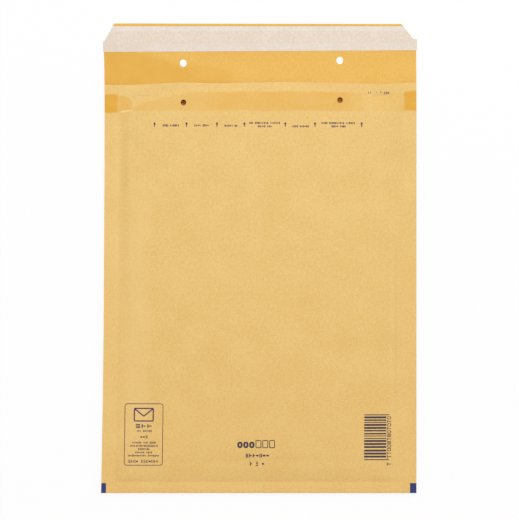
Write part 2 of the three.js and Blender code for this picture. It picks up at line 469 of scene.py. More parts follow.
    def surface(self, x: Array, s: Array) -> Array:
        """Gives points of the folded paper's outer face.

        Args:
            x: Places across the flat sheet.
            s: Places along it.

        Returns:
            One row of x, y, z for each point.
        """
        turn = np.clip((self.fold_s - s) / self.fold_radius, 0.0, math.pi)
        y = self.fold_s - self.fold_radius * np.sin(turn)
        y += np.maximum(s - self.fold_s, 0.0) + np.maximum(self.back_s - s, 0.0)
        z = self.seam_lift + self.fold_radius * np.cos(turn)
        z = np.where(s > self.fold_s, self.front_z(x, y), z)
        z = np.where(s < self.back_s, self.back_z(x, y), z)
        return np.column_stack([self.shifted(x, y), y + self.mouth_shift(x, s) + self.end_shift(x, s), z])

    def place(self, flat: Array) -> Array:
        """Folds flat points, whose third number is their height over the paper's outer face.

        Args:
            flat: One row of x, s and height for each point.

        Returns:
            One row of x, y, z for each point.
        """
        x, s, height = flat.T
        step = self.normal_step
        across = self.surface(x + step, s) - self.surface(x - step, s)
        along = self.surface(x, s + step) - self.surface(x, s - step)
        normal = np.cross(across, along)
        normal /= np.linalg.norm(normal, axis=1, keepdims=True)
        return self.surface(x, s) + normal * height[:, None]


@dataclass(frozen=True)
class FilmForm:
    """The shape of the bubble film's pouch inside the paper."""

    paper: EnvelopeForm
    top_s: float
    film: float = 0.05 * MM
    bubble_height: float = 3 * MM
    to_paper: float = 0.2 * MM
    pocket_gap: float = 4.8 * MM
    pocket_shoulder: float = 19 * MM
    pocket_setback: float = 4.5 * MM
    edge_half: float = 0.18 * MM
    least_half: float = 0.04 * MM
    hem_setback: float = 0.8 * MM

    @property
    def fold_s(self) -> float:
        """Where the front layer meets the pouch's bottom fold."""
        return self.paper.crease_y + self.hem_setback + self.edge_half

    @property
    def back_s(self) -> float:
        """Where the bottom fold meets the back layer."""
        return self.fold_s - math.pi * self.edge_half

    def behind(self, y: float) -> float:
        """Gives the place s on the back layer that lies at this y."""
        return self.back_s - (y - self.fold_s)

    def place(self, flat: Array) -> Array:
        """Folds flat points, whose third number is their height over the film's inner face.

        Bubbles are pressed down where the paper comes close, as at the seams.

        Args:
            flat: One row of x, s and height for each point.

        Returns:
            One row of x, y, z for each point.
        """
        x, s, height = flat.T
        form = self.paper
        turn = np.clip((self.fold_s - s) / self.edge_half, 0.0, math.pi)
        y = self.fold_s + np.maximum(s - self.fold_s, 0.0) + np.maximum(self.back_s - s, 0.0)
        front = form.front_z(x, y) - form.paper - self.to_paper
        back = form.back_z(x, y) + form.paper + self.to_paper
        swelling = form.pillow(x, y, self.pocket_shoulder, self.pocket_setback) * form.puff(x, y)
        space = np.maximum((front - back) / 2 - self.film, self.least_half)
        half = np.minimum(self.edge_half + (self.pocket_gap / 2 - self.edge_half) * swelling, space)
        room = space - half
        pressed = room / (self.bubble_height - self.film)
        lift = np.minimum(height, self.film) + np.maximum(height - self.film, 0.0) * pressed
        z = (front + back) / 2 + (half + lift) * np.cos(turn)
        return np.column_stack([form.shifted(x, y), y - (half + lift) * np.sin(turn), z])


@dataclass(frozen=True)
class Punch:
    """An oval hole in a flat sheet."""

    x: float
    s: float
    width: float
    length: float

    def covers(self, x: float, s: float, margin: float) -> bool:
        """Tells whether a point lies in the square that reaches this far from the centre."""
        return max(abs(x - self.x), abs(s - self.s)) < margin

    def cut(self, bm: bmesh.types.BMesh, cell: float) -> None:
        """Clears the cells round the hole and draws their rim in to the oval.

        Args:
            bm: The flat sheet.
            cell: Size of its cells.
        """
        reach = max(self.width, self.length) / 2 + cell
        cells = [f for f in bm.faces if self.covers(*f.calc_center_median().xy, reach)]
        bmesh.ops.delete(bm, geom=cells, context="FACES")
        rim = [e for e in bm.edges if e.is_boundary and self.covers(*edge_middle(e), reach + 2 * cell)]
        made = bmesh.ops.extrude_edge_only(bm, edges=rim)["geom"]
        for vert in points_of(made):
            x, s = (vert.co.x - self.x) / self.width, (vert.co.y - self.s) / self.length
            away = 2.0 * math.hypot(x, s)
            vert.co = (self.x + self.width * x / away, self.s + self.length * s / away, 0.0)


@dataclass(frozen=True)
class ClippedCorner:
    """A slanted cut at a corner of the flap, with the small step in the side where it starts."""

    side: Side
    inset: float
    run: float
    rise: float

    def cut(self, bm: bmesh.types.BMesh, form: EnvelopeForm) -> None:
        """Cuts the corner off a flat sheet that ends at the flap's end or near it.

        Args:
            bm: The flat sheet.
            form: The form, for the places of the flap's end and side.
        """
        start = Vector((self.side * (form.half_width - self.inset), form.end_s + self.rise, 0))
        outward = Vector((self.side * self.rise, -self.run, 0)).normalized()
        inner = start.x - self.side * 2 * self.run
        for normal in (Vector((0, 1, 0)), outward):
            near = [f for f in bm.faces if self.side * (f.calc_center_median().x - inner) > 0]
            near = [f for f in near if f.calc_center_median().y < start.y + self.rise]
            geometry = {item for f in near for item in (f, *f.edges, *f.verts)}
            bmesh.ops.bisect_plane(bm, geom=list(geometry), plane_co=start, plane_no=normal)
        waste = [f for f in bm.faces if self._outside(f.calc_center_median(), start, outward)]
        bmesh.ops.delete(bm, geom=waste, context="FACES")

    @staticmethod
    def _outside(middle: Vector, start: Vector, outward: Vector) -> bool:
        """Tells whether a face's middle lies past the slanted cut."""
        return middle.y < start.y and (middle - start).dot(outward) > 0


@dataclass(frozen=True)
class FlatCut:
    """A layer as it is cut on the bench, between two heights over the sheet that it follows."""

    across: Span
    along: Span
    heights: Span
    cell: float
    fold_lines: tuple[float, ...] = ()
    side_lines: tuple[float, ...] = ()
    corners: tuple[ClippedCorner, ...] = ()
    punches: tuple[Punch, ...] = ()

    def slab(self, form: EnvelopeForm) -> bmesh.types.BMesh:
        """Cuts the layer and gives it its thickness.

        Args:
            form: The form, for the places of the clipped corners.

        Returns:
            A closed flat slab, with the sheet's own map and its faces sorted by material.
        """
        bm = bmesh.new()
        grid_sheet(bm, self.across, self.along, self.cell)
        for s in self.fold_lines:
            self._score(bm, Vector((0, s, 0)), Vector((0, 1, 0)))
        for x in self.side_lines:
            self._score(bm, Vector((x, 0, 0)), Vector((1, 0, 0)))
        for corner in self.corners:
            corner.cut(bm, form)
        for punch in self.punches:
            punch.cut(bm, self.cell)
        bmesh.ops.translate(bm, verts=bm.verts[:], vec=(0, 0, self.heights[1]))
        thicken(bm, self.heights[1] - self.heights[0])
        return bm

    @staticmethod
    def _score(bm: bmesh.types.BMesh, point: Vector, normal: Vector) -> None:
        """Adds a straight line of edges, so that the sheet can bend there."""
        geometry = [*bm.verts, *bm.edges, *bm.faces]
        bmesh.ops.bisect_plane(bm, geom=geometry, dist=SCORE_SNAP, plane_co=point, plane_no=normal)


def edge_middle(edge: bmesh.types.BMEdge) -> Point:
    """Gives the flat middle of an edge."""
    middle = (edge.verts[0].co + edge.verts[1].co) / 2
    return middle.x, middle.y


def points_of(geometry: Iterable[object]) -> list[bmesh.types.BMVert]:
    """Gives the points among what a mesh operator made."""
    return [item for item in geometry if isinstance(item, bmesh.types.BMVert)]


def grid_sheet(bm: bmesh.types.BMesh, across: Span, along: Span, cell: float, turn: float = 0.0) -> None:
    """Adds a flat rectangle of even cells.

    Args:
        bm: Where it is added.
        across: Its lowest and highest x.
        along: Its lowest and highest s.
        cell: Largest size of a cell.
        turn: Angle about its middle.
    """
    width, length = across[1] - across[0], along[1] - along[0]
    place = Matrix.Translation((sum(across) / 2, sum(along) / 2, 0)) @ Matrix.Rotation(turn, 4, "Z")
    place @= Matrix.Diagonal((width, length, 1, 1))
    cells = {"x_segments": max(1, math.ceil(width / cell)), "y_segments": max(1, math.ceil(length / cell))}
    bmesh.ops.create_grid(bm, **cells, size=0.5, matrix=place)


def map_flat(bm: bmesh.types.BMesh) -> None:
    """Writes the sheet's own map, which is x and s in metres.

    Args:
        bm: A layer that is still flat.
    """
    layer = bm.loops.layers.uv.new(SHEET_MAP)
    for face in bm.faces:
        for loop in face.loops:
            loop[layer].uv = loop.vert.co.xy


def thicken(bm: bmesh.types.BMesh, depth: float) -> None:
    """Turns flat faces into a closed slab below them, and gives it the sheet's map and materials.

    Args:
        bm: The flat sheet, whose faces point up.
        depth: The slab's thickness.
    """
    bmesh.ops.solidify(bm, geom=bm.faces[:], thickness=depth)
    bm.normal_update()
    map_flat(bm)
    for face in bm.faces:
        face.material_index = {1: Face.OUTER, -1: Face.INNER}.get(round(face.normal.z), Face.EDGE)


def fold(bm: bmesh.types.BMesh, place: Callable[[Array], Array]) -> None:
    """Moves every point from the flat cut to its folded place.

    Args:
        bm: The flat layer.
        place: The form that it follows.
    """
    flat = np.array([v.co for v in bm.verts], float)
    for vert, point in zip(bm.verts, place(flat)):
        vert.co = point


def mesh_of(bm: bmesh.types.BMesh, name: str) -> bpy.types.Mesh:
    """Makes a mesh of what was built.

    Args:
        bm: The finished build, which is freed.
        name: The mesh's name.

    Returns:
        The mesh.
    """
    mesh = bpy.data.meshes.new(name)
    bm.to_mesh(mesh)
    bm.free()
    return mesh


def placed(name: str, data: bpy.types.ID) -> bpy.types.Object:
    """Puts a mesh, camera or lamp into the scene.

    Args:
        name: The object's name.
        data: What it shows.

    Returns:
        The new object, at the origin.
    """
    thing = bpy.data.objects.new(name, data)
    bpy.context.scene.collection.objects.link(thing)
    return thing


def finished_piece(
    bm: bmesh.types.BMesh, name: str, materials: Iterable[bpy.types.Material], sharp_angle: float = 35.0
) -> bpy.types.Object:
    """Makes a piece that rides on the envelope.

    Args:
        bm: The finished build, which is freed.
        name: The piece's name.
        materials: Its materials, in the order of its material indices.
        sharp_angle: Edges that turn by more degrees than this stay sharp.

    Returns:
        The piece.
    """
    bm.normal_update()
    for face in bm.faces:
        face.smooth = True
    for edge in bm.edges:
        edge.smooth = len(edge.link_faces) == 2 and edge.calc_face_angle() < math.radians(sharp_angle)
    mesh = mesh_of(bm, name)
    for material in materials:
        mesh.materials.append(material)
    piece = placed(name, mesh)
    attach(piece, "root")
    return piece


class Bench:
    """Lays out the shader nodes of a material or of the world."""

    def __init__(self, owner: bpy.types.Material | bpy.types.World) -> None:
        """Clears the owner for a new layout.

        Args:
            owner: What the nodes belong to.
        """
        owner.use_nodes = True
        self.owner, self.tree = owner, owner.node_tree
        self.tree.nodes.clear()

    @classmethod
    def for_material(cls, name: str) -> "Bench":
        """Starts a new material."""
        return cls(bpy.data.materials.new(name))

    def add(self, kind: str, feeds: Feeds | None = None, **settings: object) -> bpy.types.Node:
        """Adds a node.

        Args:
            kind: The node's type, without its ShaderNode prefix.
            feeds: What each input gets, by name or index: a socket or a plain value.
            **settings: The node's own properties.

        Returns:
            The node.
        """
        node = self.tree.nodes.new("ShaderNode" + kind)
        for name, value in settings.items():
            setattr(node, name, value)
        for key, value in (feeds or {}).items():
            socket = node.inputs[key]
            if isinstance(value, bpy.types.NodeSocket):
                self.tree.links.new(value, socket)
            elif isinstance(value, tuple) and socket.type == "RGBA":
                socket.default_value = (*value, 1.0)
            else:
                socket.default_value = value
        return node

    def sheet(self) -> Feed:
        """Gives the sheet's own map, in metres."""
        return self.add("UVMap", uv_map=SHEET_MAP).outputs["UV"]

    def noise(self, place: Feed, scale: float, detail: float = 2.0, stretch: Span = (1.0, 1.0)) -> Feed:
        """Gives smooth noise round 0.5.

        Args:
            place: The map that it is read on.
            scale: Features in a metre.
            detail: Finer octaves.
            stretch: Share of the scale across and along the sheet.

        Returns:
            The noise's value.
        """
        if stretch != (1.0, 1.0):
            place = self.add("Mapping", {"Vector": place, "Scale": (*stretch, 1.0)}).outputs[0]
        feeds = {"Vector": place, "Scale": scale, "Detail": detail}
        return self.add("TexNoise", feeds, noise_dimensions="2D").outputs[0]

    def maths(self, operation: str, *values: Feed) -> Feed:
        """Gives a sum, product or the like of numbers."""
        return self.add("Math", dict(enumerate(values)), operation=operation).outputs[0]

    def vectors(self, operation: str, *values: Feed) -> Feed:
        """Gives a sum, length or the like of vectors."""
        outputs = self.add("VectorMath", dict(enumerate(values)), operation=operation).outputs
        return outputs["Value" if operation == "LENGTH" else "Vector"]

    def parts(self, vector: Feed) -> Sequence[Feed]:
        """Gives the three parts of a vector."""
        return self.add("SeparateXYZ", {0: vector}).outputs

    def ramp(self, value: Feed, start: float, end: float, low: float = 0.0, high: float = 1.0) -> Feed:
        """Gives a soft ramp, from low at the start to high at the end."""
        feeds = {"Value": value, "From Min": start, "From Max": end, "To Min": low, "To Max": high}
        return self.add("MapRange", feeds, interpolation_type="SMOOTHSTEP").outputs[0]

    def vary(self, noise: Feed, low: float = 0.0, high: float = 1.0) -> Feed:
        """Spreads smooth noise between two values."""
        return self.ramp(noise, *NOISE_SPAN, low, high)

    def weighed(self, parts: Iterable[tuple[Feed, float]]) -> Feed:
        """Adds noises round 0.5, each with its weight.

        Args:
            parts: Each noise and its weight.

        Returns:
            One number round 0.5.
        """
        total: Feed = 0.5
        for value, weight in parts:
            total = self.maths("MULTIPLY_ADD", self.maths("SUBTRACT", value, 0.5), weight, total)
        return total

    def blend(self, share: Feed, first: Feed, second: Feed) -> Feed:
        """Gives a colour between two others."""
        return self.add("Mix", {0: share, 6: first, 7: second}, data_type="RGBA").outputs[2]

    def tint(self, share: Feed, colour: Feed, tint: Colour) -> Feed:
        """Gives a colour that is partly or wholly multiplied by another."""
        feeds = {0: share, 6: colour, 7: tint}
        return self.add("Mix", feeds, data_type="RGBA", blend_type="MULTIPLY").outputs[2]

    def bump(self, height: Feed, depth: float, strength: float = 1.0) -> Feed:
        """Gives the normals of fine relief."""
        return self.add("Bump", {"Height": height, "Distance": depth, "Strength": strength}).outputs[0]

    def skin(self, colour: Feed, roughness: Feed, shine: float = 0.5, normal: Feed | None = None) -> Feed:
        """Gives an opaque surface.

        Args:
            colour: Its colour.
            roughness: Its roughness.
            shine: Strength of its reflection.
            normal: Normals of its relief.

        Returns:
            The shader.
        """
        feeds = {"Base Color": colour, "Roughness": roughness, "Specular IOR Level": shine}
        if normal is not None:
            feeds["Normal"] = normal
        return self.add("BsdfPrincipled", feeds).outputs[0]

    def mixed(self, share: Feed, first: Feed, second: Feed) -> Feed:
        """Gives a shader between two others."""
        return self.add("MixShader", {0: share, 1: first, 2: second}).outputs[0]

    def close(self, shader: Feed) -> bpy.types.Material:
        """Wires the last shader to the output and gives the material."""
        self.add("OutputMaterial", {"Surface": shader})
        return self.owner


class ZoneShape(Enum):
    """Outline of a stain or of a zone of painted light or shade."""

    BOX = "box"
    OVAL = "oval"
    DOME = "upper half of an oval"


@dataclass(frozen=True)
class StainOrPaintedLight:
    """A soft-edged zone of the sheet with another colour: a real stain, such as paper soaked by the glue
    under it, or painted light or shade.
    """

    shape: ZoneShape
    centre: Point
    half_size: Point
    soft: Point
    strength: float
    turn: float = 0.0

    def mask(self, bench: Bench, sheet: Feed) -> Feed:
        """Lays out the zone's mask.

        Args:
            bench: The material that it goes into.
            sheet: The sheet's map.

        Returns:
            A number from 0 outside the zone to its strength inside.
        """
        feeds = {
            "Vector": sheet,
            "Location": (*self.centre, 0.0),
            "Rotation": (0.0, 0.0, math.radians(self.turn)),
            "Scale": (*self.half_size, 1.0),
        }
        local = bench.add("Mapping", feeds, vector_type="TEXTURE").outputs[0]
        edge_x, edge_y = (soft / half / 2 for soft, half in zip(self.soft, self.half_size))
        if self.shape is ZoneShape.BOX:
            away = bench.parts(bench.vectors("ABSOLUTE", local))
            inside_x = bench.ramp(away[0], 1.0 + edge_x, 1.0 - edge_x, 0.0, self.strength)
            return bench.maths("MULTIPLY", inside_x, bench.ramp(away[1], 1.0 + edge_y, 1.0 - edge_y))
        away = bench.vectors("LENGTH", local)
        oval = bench.ramp(away, 1.0 + edge_x, 1.0 - edge_x, 0.0, self.strength)
        if self.shape is ZoneShape.OVAL:
            return oval
        return bench.maths("MULTIPLY", oval, bench.ramp(bench.parts(local)[1], -edge_y, edge_y))


def strongest(stains: Iterable[StainOrPaintedLight], bench: Bench, sheet: Feed) -> Feed:
    """Lays out one mask of several stains.

    Args:
        stains: The stains.
        bench: The material that they go into.
        sheet: The sheet's map.

    Returns:
        The mask of the strongest stain at each place.
    """
    share: Feed = 0.0
    for stain in stains:
        share = bench.maths("MAXIMUM", share, stain.mask(bench, sheet))
    return share


@dataclass(frozen=True)
class KraftFinish:
    """Smooth golden kraft paper: cloudy formation, fibres along the web, grain and a few shives, with painted
    shade towards the bottom and painted highlights and shade in given zones.
    """

    name: str
    tone: Colour
    soaked: Colour
    depth: float = 0.15
    stains: tuple[StainOrPaintedLight, ...] = ()
    # Zones of painted highlight.
    painted_highlights: tuple[StainOrPaintedLight, ...] = ()
    shades: tuple[StainOrPaintedLight, ...] = ()
    # Painted shade towards the bottom: its tint, and where along the sheet it starts and is full.
    falloff_shade: Colour = (1.0, 0.97, 0.935)
    falloff_span: Span = mm(110, -185)
    clouds: float = 40.0
    mottle: float = 380.0
    fibres: float = 900.0
    fibre_stretch: Span = (1.0, 0.6)
    grain: float = 1300.0
    tone_weights: tuple[float, ...] = (0.35, 0.5, 0.6, 1.1)
    tooth_weights: tuple[float, ...] = (0.0, 0.5, 0.9, 0.6)
    depth_by_channel: Colour = (0.6, 1.1, 2.6)
    border_waves: float = 55.0
    border_waver: float = 0.35 * MM
    patches: float = 90.0
    patch_span: Span = (0.82, 1.12)
    shives: float = 130.0
    shive_rim: Span = (0.05, 0.02)
    shive_choice: Span = (0.82, 0.86)
    shive_strength: float = 0.22
    bark: Colour = (0.42, 0.22, 0.07)
    passes: Colour = (0.17, 0.1, 0.03)
    # Lighter tone of the painted highlights.
    highlight_tone: Colour = (1.0, 0.76, 0.36)
    shading: Colour = (0.88, 0.84, 0.7)
    roughness: Span = (0.62, 0.76)
    shine: float = 0.25
    tooth: float = 0.03 * MM

    def material(self) -> bpy.types.Material:
        """Lays out the paper's shader.

        Returns:
            The paper's material.
        """
        bench = Bench.for_material(self.name)
        sheet = bench.sheet()
        clouds = bench.noise(sheet, self.clouds, detail=4.0)
        mottle = bench.noise(sheet, self.mottle, detail=3.0)
        fibres = bench.noise(sheet, self.fibres, stretch=self.fibre_stretch)
        layers = (clouds, mottle, fibres, bench.noise(sheet, self.grain))
        shares = (self.depth * share for share in self.depth_by_channel)
        dark = tuple(channel * (1.0 - share) for channel, share in zip(self.tone, shares))
        light = tuple(min(1.0, 2.0 * channel - low) for channel, low in zip(self.tone, dark))
        colour = bench.blend(bench.weighed(zip(layers, self.tone_weights)), dark, light)
        # Painted shade: the colour darkens towards the bottom of the sheet, in place of the light's falloff.
        colour = bench.tint(bench.ramp(bench.parts(sheet)[1], *self.falloff_span), colour, self.falloff_shade)
        colour = self._soaked(bench, sheet, colour)
        colour = self._with_shives(bench, sheet, colour)
        # Painted highlights: given zones are blended towards a lighter tone.
        for highlight in self.painted_highlights:
            colour = bench.blend(highlight.mask(bench, sheet), colour, self.highlight_tone)
        for shade in self.shades:
            colour = bench.tint(shade.mask(bench, sheet), colour, self.shading)
        normal = bench.bump(bench.weighed(zip(layers, self.tooth_weights)), self.tooth)
        body = bench.skin(colour, bench.vary(mottle, *self.roughness), self.shine, normal)
        through = bench.add("BsdfTranslucent", {"Color": self.passes, "Normal": normal})
        return bench.close(bench.add("AddShader", {0: body, 1: through.outputs[0]}).outputs[0])

    def _soaked(self, bench: Bench, sheet: Feed, colour: Feed) -> Feed:
        """Darkens the paper where glue has soaked it, with slightly uneven borders.

        Args:
            bench: The material.
            sheet: The sheet's map.
            colour: The paper's colour so far.

        Returns:
            The colour with its stains.
        """
        if not self.stains:
            return colour
        waver = bench.noise(sheet, self.border_waves, detail=1.0)
        offset = bench.ramp(waver, *WIDE_NOISE_SPAN, -self.border_waver, self.border_waver)
        shift = bench.add("CombineXYZ", {1: offset}).outputs[0]
        share = strongest(self.stains, bench, bench.vectors("ADD", sheet, shift))
        patchy = bench.ramp(bench.noise(sheet, self.patches, detail=3.0), *WIDE_NOISE_SPAN, *self.patch_span)
        return bench.blend(bench.maths("MULTIPLY", share, patchy), colour, self.soaked)

    def _with_shives(self, bench: Bench, sheet: Feed, colour: Feed) -> Feed:
        """Strews a few small darker bits of bark through the paper.

        Args:
            bench: The material.
            sheet: The sheet's map.
            colour: The paper's colour so far.

        Returns:
            The colour with its shives.
        """
        cells = bench.add("TexVoronoi", {"Vector": sheet, "Scale": self.shives}, voronoi_dimensions="2D")
        near = bench.ramp(cells.outputs["Distance"], *self.shive_rim)
        pick = bench.add("SeparateColor", {0: cells.outputs["Color"]}).outputs[0]
        rare = bench.ramp(pick, *self.shive_choice, 0.0, self.shive_strength)
        return bench.blend(bench.maths("MULTIPLY", near, rare), colour, self.bark)


@dataclass(frozen=True)
class SiliconePaperFinish:
    """Translucent peel-off paper, warmer where it lies on the adhesive."""

    name: str
    bare: Colour
    on_adhesive: Colour
    warm: tuple[StainOrPaintedLight, ...]
    dull: StainOrPaintedLight
    dulling: Colour = (0.905, 0.885, 0.82)
    clouds: float = 70.0
    grain: float = 500.0
    cloud_span: Span = (0.2, 0.6)
    least_warmth: float = 0.7
    cloud_tone: float = 0.5
    cloud_relief: float = 2.0
    roughness: Span = (0.42, 0.54)
    shine: float = 0.4
    tooth: float = 0.03 * MM
    tooth_strength: float = 0.6

    def material(self) -> bpy.types.Material:
        """Lays out the strip's shader.

        Returns:
            The strip's material.
        """
        bench = Bench.for_material(self.name)
        sheet = bench.sheet()
        clouds = bench.noise(sheet, self.clouds, detail=3.0)
        grain = bench.noise(sheet, self.grain, detail=3.0)
        warmth = strongest(self.warm, bench, sheet)
        share = bench.maths("MULTIPLY", warmth, bench.ramp(clouds, *self.cloud_span, self.least_warmth))
        tone = bench.blend(share, self.bare, self.on_adhesive)
        centred = bench.maths("SUBTRACT", clouds, 0.5)
        shade = bench.ramp(bench.maths("MULTIPLY_ADD", centred, self.cloud_tone, grain), *WIDE_NOISE_SPAN)
        fresh = bench.maths("SUBTRACT", shade, self.dull.mask(bench, sheet))
        colour = bench.blend(fresh, bench.tint(1.0, tone, self.dulling), tone)
        height = bench.maths("MULTIPLY_ADD", clouds, self.cloud_relief, grain)
        normal = bench.bump(height, self.tooth, self.tooth_strength)
        return bench.close(bench.skin(colour, bench.vary(grain, *self.roughness), self.shine, normal))


@dataclass(frozen=True)
class GlueFinish:
    """Set hot-melt or tacky adhesive: smooth, uneven in tone, with fine ripples."""

    name: str
    tone: Colour
    deep: Colour
    roughness: Span
    clearness: float = 0.2
    shine: float = 0.5
    pools: float = 160.0
    ripples: float = 700.0
    ripple_stretch: Span = (0.25, 1.0)
    ripple_depth: float = 0.08 * MM
    ripple_strength: float = 0.7

    def material(self) -> bpy.types.Material:
        """Lays out the adhesive's shader.

        Returns:
            The adhesive's material.
        """
        bench = Bench.for_material(self.name)
        sheet = bench.sheet()
        pool = bench.noise(sheet, self.pools, detail=3.0)
        ripple = bench.noise(sheet, self.ripples, stretch=self.ripple_stretch)
        normal = bench.bump(ripple, self.ripple_depth, self.ripple_strength)
        colour = bench.blend(bench.vary(pool), self.deep, self.tone)
        body = bench.skin(colour, bench.vary(pool, *self.roughness), self.shine, normal)
        through = bench.add("BsdfTranslucent", {"Color": self.tone, "Normal": normal})
        return bench.close(bench.mixed(self.clearness, body, through.outputs[0]))


@dataclass(frozen=True)
class FilmFinish:
    """Clear soft film: mostly see-through, milky and shiny where it turns away."""

    name: str
    tone: Colour = (0.86, 0.88, 0.89)
    shaded: float = 0.94
    cast: Colour = (0.985, 0.99, 0.99)
    haze: float = 120.0
    wrinkles: float = 420.0
    wrinkle_depth: float = 0.15 * MM
    wrinkle_strength: float = 0.6
    roughness: Span = (0.1, 0.2)
    turning: float = 0.35
    turned_from: float = 0.1
    opacity: Span = (0.01, 0.62)

    def material(self) -> bpy.types.Material:
        """Lays out the film's shader.

        Returns:
            The film's material.
        """
        bench = Bench.for_material(self.name)
        sheet = bench.sheet()
        haze = bench.noise(sheet, self.haze, detail=3.0)
        wrinkle = bench.noise(sheet, self.wrinkles, detail=3.0)
        normal = bench.bump(wrinkle, self.wrinkle_depth, self.wrinkle_strength)
        colour = bench.blend(haze, tuple(channel * self.shaded for channel in self.tone), self.tone)
        body = bench.skin(colour, bench.vary(haze, *self.roughness), normal=normal)
        clear = bench.add("BsdfTransparent", {"Color": self.cast})
        turned = bench.add("LayerWeight", {"Blend": self.turning, "Normal": normal}).outputs["Facing"]
        share = bench.ramp(turned, self.turned_from, 1.0, *self.opacity)
        return bench.close(bench.mixed(share, clear.outputs[0], body))


@dataclass(frozen=True)
class InkFinish:
    """Thin printing ink that lets a little of the paper's grain through."""

    name: str
    tone: Colour
    worn: Colour
    grain: float = 1700.0
    patches: float = 260.0
    worn_span: Span = (0.42, 0.72)
    patch_span: Span = (0.3, 0.75)
    least_wear: float = 0.35
    roughness: Span = (0.55, 0.7)
    shine: float = 0.3

    def material(self) -> bpy.types.Material:
        """Lays out the ink's shader.

        Returns:
            The ink's material.
        """
        bench = Bench.for_material(self.name)
        place = bench.add("TexCoord").outputs["Object"]
        grain = bench.add("TexNoise", {"Vector": place, "Scale": self.grain, "Detail": 3.0}).outputs[0]
        patch = bench.add("TexNoise", {"Vector": place, "Scale": self.patches, "Detail": 2.0}).outputs[0]
        patchy = bench.ramp(patch, *self.patch_span, self.least_wear)
        wear = bench.maths("MULTIPLY", bench.ramp(grain, *self.worn_span), patchy)
        colour = bench.blend(wear, self.tone, self.worn)
        return bench.close(bench.skin(colour, bench.vary(grain, *self.roughness), self.shine))


